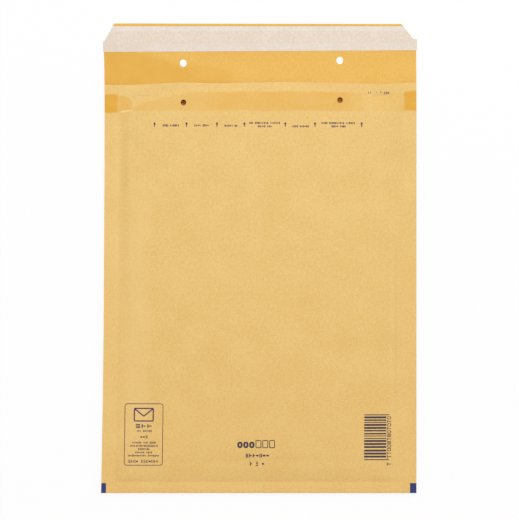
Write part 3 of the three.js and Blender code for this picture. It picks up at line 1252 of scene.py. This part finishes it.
@dataclass
class KraftCover:
    """The folded sheet of kraft paper: front panel, bottom fold, back panel and flap."""

    form: EnvelopeForm
    panel_punches: tuple[Punch, ...]
    flap_punches: tuple[Punch, ...]
    corners: tuple[ClippedCorner, ...]
    cell: float = 2.3 * MM
    fold_steps: int = 8
    outside: Colour = (0.813, 0.563, 0.2)
    soaked: Colour = (0.758, 0.408, 0.0465)
    inside: Colour = (0.813, 0.511, 0.118)
    inside_warm: Colour = (0.75, 0.417, 0.064)
    cut_gain: float = 1.05
    cut_depth: float = 0.16

    def glue_stains(self) -> tuple[StainOrPaintedLight, ...]:
        """Places the zones where the glue bands show through the front and the back panel.

        Returns:
            The stains.
        """
        y = self.form.glue_y
        box, oval = ZoneShape.BOX, ZoneShape.OVAL
        return (
            StainOrPaintedLight(ZoneShape.DOME, (-9 * MM, y - 7.6 * MM), mm(94, 15.8), mm(8, 1.4), 0.34),
            StainOrPaintedLight(box, (14 * MM, y), mm(66, 7.6), mm(36, 1.4), 0.52),
            StainOrPaintedLight(box, (104 * MM, y), mm(16, 7.6), mm(12, 1.6), 0.2),
            StainOrPaintedLight(oval, (-112.5 * MM, y - 2 * MM), mm(10, 7.8), mm(1.6, 1.6), 0.47),
            StainOrPaintedLight(box, (-120.6 * MM, y - 1 * MM), mm(6.2, 8), mm(1.2, 1), 0.97),
            StainOrPaintedLight(box, (122.5 * MM, y + 0.6 * MM), mm(7.6, 7.7), mm(3.2, 2), 0.95),
            StainOrPaintedLight(box, (0.0, self.form.behind(y)), mm(150, 7.6), mm(1, 1.4), 0.4),
        )

    def flap_stains(self) -> tuple[StainOrPaintedLight, ...]:
        """Places the warmer zone on the left of the flap's inner face.

        Returns:
            The stains.
        """
        upper = (-99 * MM, self.form.behind(self.form.mouth_y + 7.5 * MM))
        lower = (-60 * MM, self.form.behind(self.form.mouth_y + 5 * MM))
        return (
            StainOrPaintedLight(ZoneShape.OVAL, upper, mm(72, 17), mm(24, 24), 0.76, turn=16.0),
            StainOrPaintedLight(ZoneShape.OVAL, lower, mm(38, 9), mm(24, 9), 0.55),
        )

    def highlight_zones(self) -> tuple[StainOrPaintedLight, ...]:
        """Places painted highlights: on the crest of the small wrinkle beside the left seam's glue, and on
        the pale shoulders.

        Returns:
            The paler zones.
        """
        return (
            # A painted highlight on the wrinkle's crest, then painted sheen on the shoulders.
            StainOrPaintedLight(ZoneShape.OVAL, mm(-108.6, 117.5), mm(4.2, 0.8), mm(4, 1), 0.75, turn=10.0),
            StainOrPaintedLight(ZoneShape.BOX, mm(109, -75), mm(5, 100), mm(6, 80), 0.06),
            StainOrPaintedLight(ZoneShape.BOX, mm(-98, -45), mm(8, 100), mm(12, 80), 0.13),
            StainOrPaintedLight(ZoneShape.BOX, mm(-118, -35), mm(10, 125), mm(12, 40), 0.06),
            StainOrPaintedLight(ZoneShape.BOX, mm(-111, 30), mm(4.5, 80), mm(5, 50), 0.08),
        )

    def shaded(self) -> tuple[StainOrPaintedLight, ...]:
        """Places the soft dark lines where the panel dips beside the side seams.

        Returns:
            The darker zones.
        """
        return (
            StainOrPaintedLight(ZoneShape.BOX, mm(-108.8, 85), mm(2.6, 34), mm(3.4, 24), 0.34),
            StainOrPaintedLight(ZoneShape.BOX, mm(-108.6, 35), mm(3.2, 70), mm(4.4, 60), 0.26),
            StainOrPaintedLight(ZoneShape.BOX, mm(108.4, -55), mm(1.3, 65), mm(1.8, 40), 0.3),
        )

    def finishes(self) -> tuple[KraftFinish, ...]:
        """Dresses the sheet's outer face, its inner face and its cut edge.

        Returns:
            One finish for each, in the order of Face.
        """
        on_front = {"stains": self.glue_stains(), "painted_highlights": self.highlight_zones(), "shades": self.shaded()}
        edge = tuple(min(1.0, channel * self.cut_gain) for channel in self.outside)
        return (
            KraftFinish("kraft_outside", self.outside, self.soaked, **on_front),
            KraftFinish("kraft_inside", self.inside, self.inside_warm, stains=self.flap_stains()),
            KraftFinish("kraft_cut_edge", edge, self.soaked, depth=self.cut_depth),
        )

    def build(self) -> list[bpy.types.Object]:
        """Cuts, folds and dresses the cover.

        Returns:
            The cover alone.
        """
        form = self.form
        turn = math.pi * form.fold_radius / self.fold_steps
        turns = tuple(form.fold_s - turn * step for step in range(self.fold_steps + 1))
        cut = FlatCut(
            across=(-form.half_width, form.half_width),
            along=(form.end_s, form.mouth_y),
            heights=(-form.paper, 0.0),
            cell=self.cell,
            fold_lines=(*form.hem_creases, *map(form.behind, (*form.hem_creases, form.mouth_y)), *turns),
            side_lines=form.side_creases,
            corners=self.corners,
            punches=(*self.panel_punches, *self.flap_punches),
        )
        bm = cut.slab(form)
        fold(bm, form.place)
        piece = finished_piece(bm, "kraft_cover_paper", (finish.material() for finish in self.finishes()))
        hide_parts("kraft_cover")
        return [piece]


@dataclass
class BubbleLiner:
    """The pouch of bubble film: a smooth inner film with rows of bubbles on the side towards the paper."""

    form: FilmForm
    punches: tuple[Punch, ...]
    half_width: float
    cell: float = 4.6 * MM
    pitch: float = 11.5 * MM
    bubble_radius: float = 5 * MM
    bubble_sides: int = 10
    bubble_foot: float = 0.07 * MM
    join: float = 0.01 * MM
    longest_row: int = 20
    row_margin: float = 5.5 * MM
    sharp_angle: float = 60.0
    profile: tuple[Point, ...] = ((1.0, 0.0), (0.96, 0.42), (0.8, 0.82), (0.46, 1.0), (0.0, 1.0))

    @property
    def row_spacing(self) -> float:
        """Distance between rows, which interlock."""
        return self.pitch * math.sqrt(0.75)

    @property
    def first_row_s(self) -> float:
        """Place of the row nearest the mouth on the front layer."""
        return self.form.top_s - self.row_margin

    def build(self) -> list[bpy.types.Object]:
        """Makes the film with its bubbles, folds it and dresses it.

        Returns:
            The pouch alone.
        """
        form = self.form
        cut = FlatCut(
            across=(-self.half_width, self.half_width),
            along=(form.behind(form.top_s), form.top_s),
            heights=(0.0, form.film),
            cell=self.cell,
            fold_lines=(form.fold_s, (form.fold_s + form.back_s) / 2, form.back_s),
            side_lines=form.paper.side_creases,
            punches=self.punches,
        )
        bm = cut.slab(form.paper)
        bubbles = self._bubbles()
        bm.from_mesh(bubbles)
        bpy.data.meshes.remove(bubbles)
        fold(bm, form.place)
        for face in bm.faces:
            face.material_index = 0
        piece = finished_piece(bm, "bubble_film", [FilmFinish("bubble_film").material()], self.sharp_angle)
        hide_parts("bubble_liner")
        return [piece]

    def _bubbles(self) -> bpy.types.Mesh:
        """Lays rows of bubbles on both layers of the flat film, clear of the hem and the punched holes.

        Returns:
            All the bubbles as one flat layer.
        """
        bm = bmesh.new()
        rows = [self._row(self._bubbles_in(row)) for row in (0, 1)]
        lowest = self.form.paper.crease_y + self.row_margin
        for index in range(int((self.first_row_s - lowest) / self.row_spacing) + 1):
            y = self.first_row_s - index * self.row_spacing
            for s in (y, self.form.behind(y)):
                known = len(bm.verts)
                bm.from_mesh(rows[index % 2])
                bm.verts.ensure_lookup_table()
                bmesh.ops.translate(bm, verts=bm.verts[known:], vec=(0, s, 0))
        for mesh in rows:
            bpy.data.meshes.remove(mesh)
        bmesh.ops.delete(bm, geom=[v for v in bm.verts if self._pierced(v)], context="VERTS")
        return mesh_of(bm, "bubbles")

    def _bubbles_in(self, row: int) -> int:
        """Gives how many bubbles a row has. Every other row has one more."""
        return self.longest_row - 1 + row % 2

    def _pierced(self, vert: bmesh.types.BMVert) -> bool:
        """Tells whether a point belongs to a bubble that a punch has gone through.

        Args:
            vert: A point of a bubble on the front layer.

        Returns:
            True where a punched hole meets the bubble.
        """
        row = round((self.first_row_s - vert.co.y) / self.row_spacing)
        middle_s = self.first_row_s - row * self.row_spacing
        offset = 0.0 if self._bubbles_in(row) % 2 else self.pitch / 2
        middle_x = round((vert.co.x - offset) / self.pitch) * self.pitch + offset
        return any(
            math.hypot(middle_x - punch.x, middle_s - punch.s) < self.bubble_radius + punch.length / 2
            for punch in self.punches
        )

    def _row(self, count: int) -> bpy.types.Mesh:
        """Makes one row of bubbles along x, centred on the sheet.

        Args:
            count: Bubbles in the row.

        Returns:
            The row's mesh, at s = 0.
        """
        bm = bmesh.new()
        foot, rise = self.bubble_foot, self.form.bubble_height - self.bubble_foot
        points = [bm.verts.new((self.bubble_radius * out, 0, foot + rise * up)) for out, up in self.profile]
        edges = [bm.edges.new(pair) for pair in zip(points, points[1:])]
        turn = {"cent": (0, 0, 0), "axis": (0, 0, 1), "angle": math.tau, "steps": self.bubble_sides}
        bmesh.ops.spin(bm, geom=[*points, *edges], use_merge=True, **turn)
        bmesh.ops.remove_doubles(bm, verts=bm.verts[:], dist=self.join)
        bmesh.ops.holes_fill(bm, edges=[e for e in bm.edges if e.is_boundary], sides=self.bubble_sides)
        bmesh.ops.recalc_face_normals(bm, faces=bm.faces[:])
        bubble = [*bm.verts, *bm.edges, *bm.faces]
        bmesh.ops.translate(bm, verts=bm.verts[:], vec=(-(count - 1) / 2 * self.pitch, 0, 0))
        for index in range(1, count):
            copy = bmesh.ops.duplicate(bm, geom=bubble)["geom"]
            bmesh.ops.translate(bm, verts=points_of(copy), vec=(index * self.pitch, 0, 0))
        map_flat(bm)
        return mesh_of(bm, "bubble_row")


@dataclass
class GlueBands:
    """The two hot-melt bands that bond the film to the panels under the mouth."""

    form: EnvelopeForm
    front_punches: tuple[Punch, ...]
    thickness: float = 0.12 * MM
    clearance: float = 0.04 * MM
    height: float = 15 * MM
    from_mouth: float = 7.8 * MM
    from_side: float = 1 * MM
    cell: float = 2.3 * MM
    finish: GlueFinish = GlueFinish(
        "hot_melt", (1.0, 0.36, 0.01), (0.96, 0.3, 0.01), (0.55, 0.67), clearness=0.35, shine=0.15
    )

    def build(self) -> list[bpy.types.Object]:
        """Makes the front and the back band.

        Returns:
            Both bands.
        """
        melt = self.finish.material()
        top = self.form.mouth_y - self.from_mouth
        low = top - self.height
        return [
            self._band("front_glue_band", (low, top), melt, self.front_punches),
            self._band("back_glue_band", (self.form.behind(top), self.form.behind(low)), melt),
        ]

    def _band(
        self, node: str, along: Span, melt: bpy.types.Material, punches: tuple[Punch, ...] = ()
    ) -> bpy.types.Object:
        """Makes one band.

        Args:
            node: The node that it stands for.
            along: Where it starts and ends along the sheet.
            melt: Its material.
            punches: The holes through it.

        Returns:
            The band.
        """
        side = self.form.half_width - self.from_side
        upper = -self.form.paper - self.clearance
        heights = (upper - self.thickness, upper)
        lines = self.form.side_creases
        cut = FlatCut((-side, side), along, heights, self.cell, side_lines=lines, punches=punches)
        bm = cut.slab(self.form)
        fold(bm, self.form.place)
        piece = finished_piece(bm, node + "_melt", [melt] * len(Face))
        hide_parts(node)
        return piece


@dataclass(frozen=True)
class Strip:
    """Size and place of a strip on the flap."""

    width: float
    thickness: float
    from_end: float
    past_side: float
    slant: float = 0.0


@dataclass
class FlapStrips:
    """The adhesive on the flap and the peel-off strip over it, both on the sheet's inner side."""

    form: EnvelopeForm
    corners: tuple[ClippedCorner, ...]
    adhesive: Strip = Strip(9.6 * MM, 0.12 * MM, 6.2 * MM, -1.5 * MM)
    peel_off: Strip = Strip(19.9 * MM, 0.08 * MM, 2.3 * MM, 0.6 * MM, slant=0.7 * MM)
    border: float = 2.5 * MM
    cell: float = 2.3 * MM
    tacky: GlueFinish = GlueFinish("tacky_adhesive", (0.86, 0.78, 0.62), (0.8, 0.7, 0.52), (0.2, 0.32))

    def paper(self) -> SiliconePaperFinish:
        """Dresses the peel-off strip: warm over the adhesive and at its aged end, dull along its border.

        Returns:
            The strip's finish.
        """
        adhesive, box = self.adhesive, ZoneShape.BOX
        middle = (0.0, self.form.end_s + adhesive.from_end + adhesive.width / 2)
        reach = (self.form.half_width + adhesive.past_side, adhesive.width / 2)
        border_s = self.form.end_s + self.peel_off.from_end + self.peel_off.width - self.border
        warm = (
            StainOrPaintedLight(box, middle, reach, mm(5, 1.6), 1.0),
            StainOrPaintedLight(box, (-112 * MM, border_s), mm(20, 4), mm(24, 2), 0.75),
        )
        dull = StainOrPaintedLight(box, (0.0, border_s), mm(140, 4.5), mm(1, 2), 0.36)
        return SiliconePaperFinish("silicone_paper", (0.868, 0.766, 0.695), (0.845, 0.712, 0.603), warm, dull)

    def build(self) -> list[bpy.types.Object]:
        """Makes the adhesive and the peel-off strip.

        Returns:
            Both strips.
        """
        top = -self.form.paper
        adhesive = self._laid(self.adhesive, top, "adhesive_strip_glue", self.tacky.material())
        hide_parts("adhesive_strip")
        top -= self.adhesive.thickness
        liner = self._laid(self.peel_off, top, "release_liner_strip", self.paper().material())
        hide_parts("release_liner")
        return [adhesive, liner]

    def _laid(self, strip: Strip, top: float, name: str, finish: bpy.types.Material) -> bpy.types.Object:
        """Lays a strip on the flap.

        Args:
            strip: Its size and place.
            top: Height of its face that touches the layer before, over the sheet's outer face.
            name: The piece's name.
            finish: Its material.

        Returns:
            The strip.
        """
        form = self.form
        side, start = form.half_width + strip.past_side, form.end_s + strip.from_end
        spans = (-side, side), (start, start + strip.width), (top - strip.thickness, top)
        bm = FlatCut(*spans, self.cell, corners=self.corners).slab(form)
        for vert in bm.verts:
            vert.co.y -= strip.slant * vert.co.x / form.half_width * (vert.co.y - start) / strip.width
        fold(bm, form.place)
        return finished_piece(bm, name, [finish] * len(Face))


class Mark(Enum):
    """A small printed mark that stands for a letter or a figure without being one."""

    PAIR = "two uprights"
    STUB = "an upright with a dash"
    STACK = "three dashes"
    DOT = "a short block"
    RING = "a small ring"


@dataclass
class PrintPlate:
    """One job of print: flat shapes gathered on the sheet, then folded as a thin layer of ink."""

    form: EnvelopeForm
    name: str
    height: float = 0.035 * MM
    ink: float = 0.02 * MM
    cell: float = 2 * MM
    join: float = 0.001 * MM
    corner_steps: int = 5
    mark_share: float = 0.74
    dot_span: Span = (0.28, 0.72)
    ring_roundness: float = 0.4
    bm: bmesh.types.BMesh = field(default_factory=bmesh.new)

    def bar(self, across: Span, along: Span, turn: float = 0.0) -> None:
        """Prints a solid rectangle, turned about its middle by this many degrees."""
        grid_sheet(self.bm, across, along, self.cell, math.radians(turn))

    def frame(self, across: Span, along: Span, line: float, radius: float) -> None:
        """Prints the outline of a rectangle with rounded corners.

        Args:
            across: Its outer lowest and highest x.
            along: Its outer lowest and highest s.
            line: Width of the line.
            radius: Outer radius of a corner.
        """
        (left, right), (low, high) = across, along
        for x in (left, right - line):
            self.bar((x, x + line), (low + radius, high - radius))
        for s in (low, high - line):
            self.bar((left + radius, right - radius), (s, s + line))
        middles_x, middles_s = (left + radius, right - radius), (low + radius, high - radius)
        for quarter, (right_side, upper_side) in enumerate(((1, 1), (0, 1), (0, 0), (1, 0))):
            centre = Vector((middles_x[right_side], middles_s[upper_side], 0))
            outward = Matrix.Rotation(quarter * math.pi / 2, 3, "Z") @ Vector((1, 0, 0))
            ends = [self.bm.verts.new(centre + outward * reach) for reach in (radius - line, radius)]
            start = [*ends, self.bm.edges.new(ends)]
            turn = {"cent": centre, "axis": (0, 0, 1), "angle": math.pi / 2, "steps": self.corner_steps}
            bmesh.ops.spin(self.bm, geom=start, **turn)

    def arrow(self, centre: Point, width: float, length: float, shaft: float) -> None:
        """Prints an arrow that points to the flap.

        Args:
            centre: Its middle.
            width: Width of its head.
            length: Its length.
            shaft: Width of its shaft.
        """
        x, s = centre
        radius = width / math.sqrt(3.0)
        neck = s + length / 2 - 1.5 * radius
        place = Matrix.Translation((x, neck + radius / 2, 0))
        bmesh.ops.create_circle(self.bm, cap_ends=True, radius=radius, segments=3, matrix=place)
        self.bar((x - shaft / 2, x + shaft / 2), (s - length / 2, neck))

    def mark(self, kind: Mark, across: Span, along: Span, stroke: float) -> None:
        """Prints one mark of a greeked word.

        Args:
            kind: Which mark.
            across: Its lowest and highest x.
            along: Its lowest and highest s.
            stroke: Width of its strokes.
        """
        (left, right), (low, high) = across, along
        middle = (low + high) / 2
        if kind is Mark.STACK:
            for s in (low, middle - stroke / 2, high - stroke):
                self.bar((left, right), (s, s + stroke))
        elif kind is Mark.DOT:
            first, last = (low + (high - low) * share for share in self.dot_span)
            self.bar((left, right), (first, last))
        elif kind is Mark.RING:
            self.frame(across, along, stroke, min(right - left, high - low) * self.ring_roundness)
        else:
            self.bar((left, left + stroke), (low, high))
            if kind is Mark.PAIR:
                self.bar((right - stroke, right), (low, high))
            else:
                self.bar((left + stroke, right), (middle - stroke / 2, middle + stroke / 2))

    def words(self, across: Span, along: Span, seed: int, lengths: Sequence[int], stroke: float) -> None:
        """Prints a line of greeked words that fills a span.

        Args:
            across: The line's lowest and highest x.
            along: Its lowest and highest s.
            seed: Seed of the choice of marks.
            lengths: Marks in each word.
            stroke: Width of the strokes.
        """
        draw = np.random.default_rng(seed)
        kinds = (Mark.PAIR, Mark.STUB, Mark.STACK, Mark.DOT)
        pitch = (across[1] - across[0]) / (sum(lengths) + len(lengths) - 1)
        x = across[0]
        for length in lengths:
            for _ in range(length):
                kind = kinds[int(draw.integers(len(kinds)))]
                self.mark(kind, (x, x + pitch * self.mark_share), along, stroke)
                x += pitch
            x += pitch

    def printed(self, ink: bpy.types.Material) -> bpy.types.Object:
        """Gives the shapes their thickness, folds them and makes the piece.

        Args:
            ink: The ink.

        Returns:
            The printed piece.
        """
        bm = self.bm
        bmesh.ops.remove_doubles(bm, verts=bm.verts[:], dist=self.join)
        bm.normal_update()
        bmesh.ops.reverse_faces(bm, faces=[f for f in bm.faces if f.normal.z < 0])
        bmesh.ops.translate(bm, verts=bm.verts[:], vec=(0, 0, self.height + self.ink))
        thicken(bm, self.ink)
        fold(bm, self.form.place)
        return finished_piece(bm, self.name, [ink] * len(Face))


@dataclass
class FrontPrint:
    """All the print on the front panel, made of plain shapes and generic marks."""

    form: EnvelopeForm
    navy: InkFinish = InkFinish("print_navy", (0.036, 0.026, 0.062), (0.14, 0.085, 0.075))
    fine: InkFinish = InkFinish("print_fine", (0.06, 0.018, 0.09), (0.15, 0.07, 0.1))
    blue: InkFinish = InkFinish("print_blue", (0.024, 0.037, 0.16), (0.06, 0.065, 0.185))
    small_stroke: float = 0.42 * MM
    pictogram_line: float = 0.95 * MM
    flap_share: float = 0.52
    code_seed: int = 7
    code_bars: int = 17
    bar_widths: tuple[float, ...] = (1.0, 1.6, 2.2, 2.2)
    bar_gaps: tuple[float, ...] = (1.3, 1.3, 1.9)
    figures: int = 13
    figure_height: float = 2.35 * MM
    figure_pitch: float = 2.82 * MM
    after_first: float = 3.1 * MM

    def build(self) -> list[bpy.types.Object]:
        """Prints every job.

        Returns:
            The printed pieces.
        """
        navy, fine = self.navy.material(), self.fine.material()
        printed = [job().printed(fine) for job in (self.opening_line, self.batch_mark, self.paper_label)]
        printed += [job().printed(navy) for job in (self.size_mark, self.stock_code)]
        printed.append(self.register_marks().printed(self.blue.material()))
        return printed

    def opening_line(self) -> PrintPlate:
        """Sets arrows and short greeked words in a row under the mouth.

        Returns:
            The job.
        """
        plate = PrintPlate(self.form, "opening_line_print")
        for x in (-84.8, -59.2, -34.8, -12.9, 19.8, 43.6, 81.0):
            plate.arrow(mm(x, 106.8), width=2.2 * MM, length=3.9 * MM, shaft=0.68 * MM)
        upper, single, lower = mm(107.1, 108.6), mm(105.1, 106.8), mm(104.4, 105.9)
        lines = (
            (mm(-78.3, -65.0), single, (4, 6)),
            (mm(-52.9, -41.1), single, (4, 4)),
            (mm(-28.7, -18.3), mm(104.8, 106.4), (6, 2)),
            (mm(-9.0, 15.8), upper, (3, 9, 7)),
            (mm(-2.2, 9.3), lower, (5, 3)),
            (mm(25.2, 38.9), lower, (4, 6)),
            (mm(48.8, 75.7), upper, (4, 10, 6)),
            (mm(56.9, 68.3), lower, (5, 4)),
        )
        for seed, (across, along, lengths) in enumerate(lines, start=40):
            plate.words(across, along, seed, lengths, self.small_stroke)
        return plate

    def batch_mark(self) -> PrintPlate:
        """Sets a short greeked line near the upper right corner.

        Returns:
            The job.
        """
        plate = PrintPlate(self.form, "batch_mark_print")
        plate.words(mm(86.4, 103.6), mm(131.9, 133.8), 61, lengths=(5, 1, 3), stroke=self.small_stroke)
        return plate

    def paper_label(self) -> PrintPlate:
        """Sets the framed label at the lower left, with an envelope pictogram over greeked lines.

        Returns:
            The job.
        """
        plate = PrintPlate(self.form, "paper_label_print")
        plate.frame(mm(-107.3, -76.5), mm(-165.8, -116.1), line=0.5 * MM, radius=2.2 * MM)
        across, along = mm(-100, -84), mm(-130.6, -119.6)
        plate.frame(across, along, line=self.pictogram_line, radius=1.2 * MM)
        self._flap_lines(plate, across, along)
        lines = (
            (mm(-98.1, -84.5), mm(-135.8, -132.6), (3,), 0.75),
            (mm(-97.4, -85.2), mm(-138.8, -137.4), (3, 6), 0.38),
            (mm(-94.5, -88.1), mm(-144.0, -141.8), (3,), 0.5),
            (mm(-100.9, -81.9), mm(-148.2, -146.7), (6, 3, 4), 0.38),
            (mm(-102.5, -80.1), mm(-150.8, -149.3), (14,), 0.38),
            (mm(-96.1, -86.5), mm(-153.3, -151.8), (7,), 0.38),
            (mm(-98.3, -84.7), mm(-156.0, -154.6), (6, 4), 0.38),
            (mm(-103.7, -79.1), mm(-158.6, -157.1), (11, 7), 0.38),
            (mm(-103.7, -79.3), mm(-163.7, -161.2), (4, 7), 0.46),
        )
        for seed, (across, along, lengths, stroke) in enumerate(lines, start=70):
            plate.words(across, along, seed, lengths, stroke * MM)
        return plate

    def _flap_lines(self, plate: PrintPlate, across: Span, along: Span) -> None:
        """Draws the two slanted lines of a closed flap in the pictogram.

        Args:
            plate: The label's plate.
            across: The pictogram's lowest and highest x.
            along: Its lowest and highest s.
        """
        line = self.pictogram_line
        half = (across[1] - across[0]) / 2 - line
        drop = (along[1] - along[0]) * self.flap_share
        length = math.hypot(half, drop)
        slope = math.degrees(math.atan2(drop, half))
        s = along[1] - line - drop / 2
        for side in Side:
            x = sum(across) / 2 + side * half / 2
            plate.bar((x - length / 2, x + length / 2), (s - line / 2, s + line / 2), side * slope)

    def size_mark(self) -> PrintPlate:
        """Sets the bold and the outlined blocks low on the panel, over two short greeked lines.

        Returns:
            The job.
        """
        plate = PrintPlate(self.form, "size_mark_print")
        for left in (-17.3, -12.6, -7.9):
            plate.frame(mm(left, left + 4.1), mm(-151.7, -146.6), line=1.5 * MM, radius=1.9 * MM)
        for left in (-2.9, 2.5, 7.9):
            plate.frame(mm(left, left + 4.6), mm(-151.7, -145.3), line=0.62 * MM, radius=0.9 * MM)
        plate.words(mm(-10.6, 8.4), mm(-159.2, -156.2), 91, lengths=(7,), stroke=0.75 * MM)
        plate.words(mm(-7.2, 4.6), mm(-166.0, -162.7), 92, lengths=(1, 1, 1), stroke=0.7 * MM)
        return plate

    def stock_code(self) -> PrintPlate:
        """Sets a stack of bars that encodes nothing, with a column of greeked figures beside it.

        Returns:
            The job.
        """
        plate = PrintPlate(self.form, "stock_code_print")
        draw = np.random.default_rng(self.code_seed)
        low, high = mm(-161.4, -124.9)
        left, right, guard = 83.3 * MM, 100.9 * MM, 103.1 * MM
        last = self.code_bars - 1
        inked = draw.choice(self.bar_widths, size=last + 1)
        bare = np.append(draw.choice(self.bar_gaps, size=last), 0.0)
        inked[[0, last]] = min(self.bar_widths)
        module = (high - low) / (inked.sum() + bare.sum())
        s = low
        for index, (thickness, gap) in enumerate(zip(inked * module, bare * module)):
            plate.bar((left, guard if index in (0, last) else right), (s, s + thickness))
            s += thickness + gap
        kinds = (Mark.RING, Mark.STACK, Mark.RING, Mark.STUB)
        for index in range(self.figures):
            s = -165.8 * MM + index * self.figure_pitch + (self.after_first if index else 0.0)
            kind = kinds[int(draw.integers(len(kinds)))]
            plate.mark(kind, mm(101.5, 104.8), (s, s + self.figure_height), stroke=0.5 * MM)
        return plate

    def register_marks(self) -> PrintPlate:
        """Sets the blue marks at the bottom corners, which run on round the fold.

        Returns:
            The job.
        """
        plate = PrintPlate(self.form, "register_marks_print", cell=0.45 * MM)
        side, margin = self.form.half_width, 0.05 * MM
        along = (self.form.back_s - 6.8 * MM, self.form.bottom_y + 8 * MM)
        plate.bar((-side + margin, -side + 3.8 * MM), along)
        plate.bar((side - 5.1 * MM, side - margin), along)
        return plate


@dataclass
class Studio:
    """The camera, the floor and the plain soft light."""

    middle: Point = mm(-0.56, -1.52)
    distance: float = 2.4
    measured_at: float = 3.5 * MM
    seen_width: float = 415.2 * MM
    sensor: float = 36.0
    clip: Span = (0.05, 50.0)
    ambient: float = 0.61
    key_power: float = 13.2
    key_place: tuple[float, float, float] = (0.12, 0.78, 1.65)
    key_size: float = 1.0
    floor_size: float = 4.0
    floor_drop: float = 0.05 * MM
    floor_tone: Colour = (0.8, 0.8, 0.8)
    floor_keeps: float = 0.14
    floor_white: float = 1.0

    def build(self) -> None:
        """Sets up everything that isn't the envelope."""
        self._camera()
        self._key()
        self._world()
        self._floor()
        bpy.context.scene.view_settings.view_transform = "Standard"

    def _camera(self) -> None:
        """Looks straight down, far enough away that the outline hardly spreads."""
        data = bpy.data.cameras.new("camera")
        data.sensor_fit = "HORIZONTAL"
        data.sensor_width = self.sensor
        data.lens = self.sensor * self.distance / self.seen_width
        data.clip_start, data.clip_end = self.clip
        camera = placed("camera", data)
        camera.location = (*self.middle, self.distance + self.measured_at)
        bpy.context.scene.camera = camera

    def _key(self) -> None:
        """Hangs one large lamp beyond the flap."""
        data = bpy.data.lights.new("key", "AREA")
        data.shape = "DISK"
        data.size = self.key_size
        data.energy = self.key_power
        lamp = placed("key", data)
        lamp.location = self.key_place
        lamp.rotation_euler = (-Vector(self.key_place)).to_track_quat("-Z", "Y").to_euler()

    @staticmethod
    def _seen(bench: Bench) -> Feed:
        """Tells the rays that show the surroundings themselves from those that light things.

        Light that the paper scatters through itself is both transmitted and diffuse. It counts as lighting.

        Args:
            bench: The floor's or the world's nodes.

        Returns:
            1 for a ray that shows them, and 0 for one that lights things.
        """
        path = bench.add("LightPath").outputs
        clear = bench.maths("SUBTRACT", path["Is Transmission Ray"], path["Is Diffuse Ray"])
        indirect = bench.maths("MAXIMUM", path["Is Glossy Ray"], clear)
        return bench.maths("MAXIMUM", path["Is Camera Ray"], indirect)

    def _world(self) -> None:
        """Lights the envelope evenly from all round, and shows white behind it."""
        world = bpy.data.worlds.new("studio")
        bpy.context.scene.world = world
        bench = Bench(world)
        lit = bench.add("Background", {"Color": WHITE, "Strength": self.ambient})
        shown = bench.add("Background", {"Color": WHITE, "Strength": self.floor_white})
        both = bench.mixed(self._seen(bench), lit.outputs[0], shown.outputs[0])
        bench.add("OutputWorld", {"Surface": both})

    def _floor(self) -> None:
        """Lays a pale floor that shows white, with a light shadow of the envelope kept in it."""
        bench = Bench.for_material("floor")
        plain = bench.add("BsdfDiffuse", {"Color": self.floor_tone})
        kept = bench.add("BsdfDiffuse", {"Color": (self.floor_keeps,) * 3})
        glow = bench.add("Emission", {"Color": WHITE, "Strength": self.floor_white - self.floor_keeps})
        shown = bench.add("AddShader", {0: kept.outputs[0], 1: glow.outputs[0]})
        material = bench.close(bench.mixed(self._seen(bench), plain.outputs[0], shown.outputs[0]))
        bm = bmesh.new()
        bmesh.ops.create_grid(bm, x_segments=1, y_segments=1, size=self.floor_size)
        bmesh.ops.translate(bm, verts=bm.verts[:], vec=(0, 0, -self.floor_drop))
        floor = placed("floor", mesh_of(bm, "floor"))
        floor.data.materials.append(material)


@dataclass(frozen=True)
class ClaspHoles:
    """The two punched holes of the flap, and the two of the front panel under them when it is shut."""

    form: EnvelopeForm
    spacing: float = 125.4 * MM
    shift: float = 1 * MM
    slant: float = 2.1 * MM
    past_mouth: float = 16.7 * MM
    panel_oval: Point = mm(4.5, 4.8)
    flap_oval: Point = mm(5.4, 6)

    def _pair(self, y: float) -> list[Point]:
        """Gives the centres of a left and a right hole, as x and y."""
        half, lean = self.spacing / 2, self.slant / 2
        return [(self.shift + side * half, y + side * lean) for side in Side]

    def in_panel(self) -> tuple[Punch, ...]:
        """Gives the holes of the front panel."""
        return tuple(Punch(x, y, *self.panel_oval) for x, y in self._pair(self.form.glue_y))

    def in_flap(self) -> tuple[Punch, ...]:
        """Gives the holes of the flap."""
        centres = self._pair(self.form.mouth_y + self.past_mouth)
        return tuple(Punch(x, self.form.behind(y), *self.flap_oval) for x, y in centres)


def report(piece: bpy.types.Object) -> None:
    """Logs how finely a piece is meshed."""
    triangles = sum(len(polygon.vertices) - 2 for polygon in piece.data.polygons)
    LOG.info("%s: %d points, %d triangles", piece.name, len(piece.data.vertices), triangles)


def main() -> None:
    """Builds the envelope round its frame, and reports each piece."""
    logging.basicConfig(level=logging.INFO, format="%(name)s %(message)s")
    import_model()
    Studio().build()
    form = EnvelopeForm.from_frame()
    holes = ClaspHoles(form)
    corners = (
        ClippedCorner(Side.LEFT, inset=0.8 * MM, run=7.6 * MM, rise=14 * MM),
        ClippedCorner(Side.RIGHT, inset=2.4 * MM, run=9.6 * MM, rise=12.9 * MM),
    )
    film_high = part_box("bubble_liner")[1]
    parts = (
        KraftCover(form, holes.in_panel(), holes.in_flap(), corners),
        BubbleLiner(FilmForm(form, film_high.y), holes.in_panel(), film_high.x),
        GlueBands(form, holes.in_panel()),
        FlapStrips(form, corners),
        FrontPrint(form),
    )
    for part in parts:
        for piece in part.build():
            report(piece)


if __name__ == "__main__":
    main()
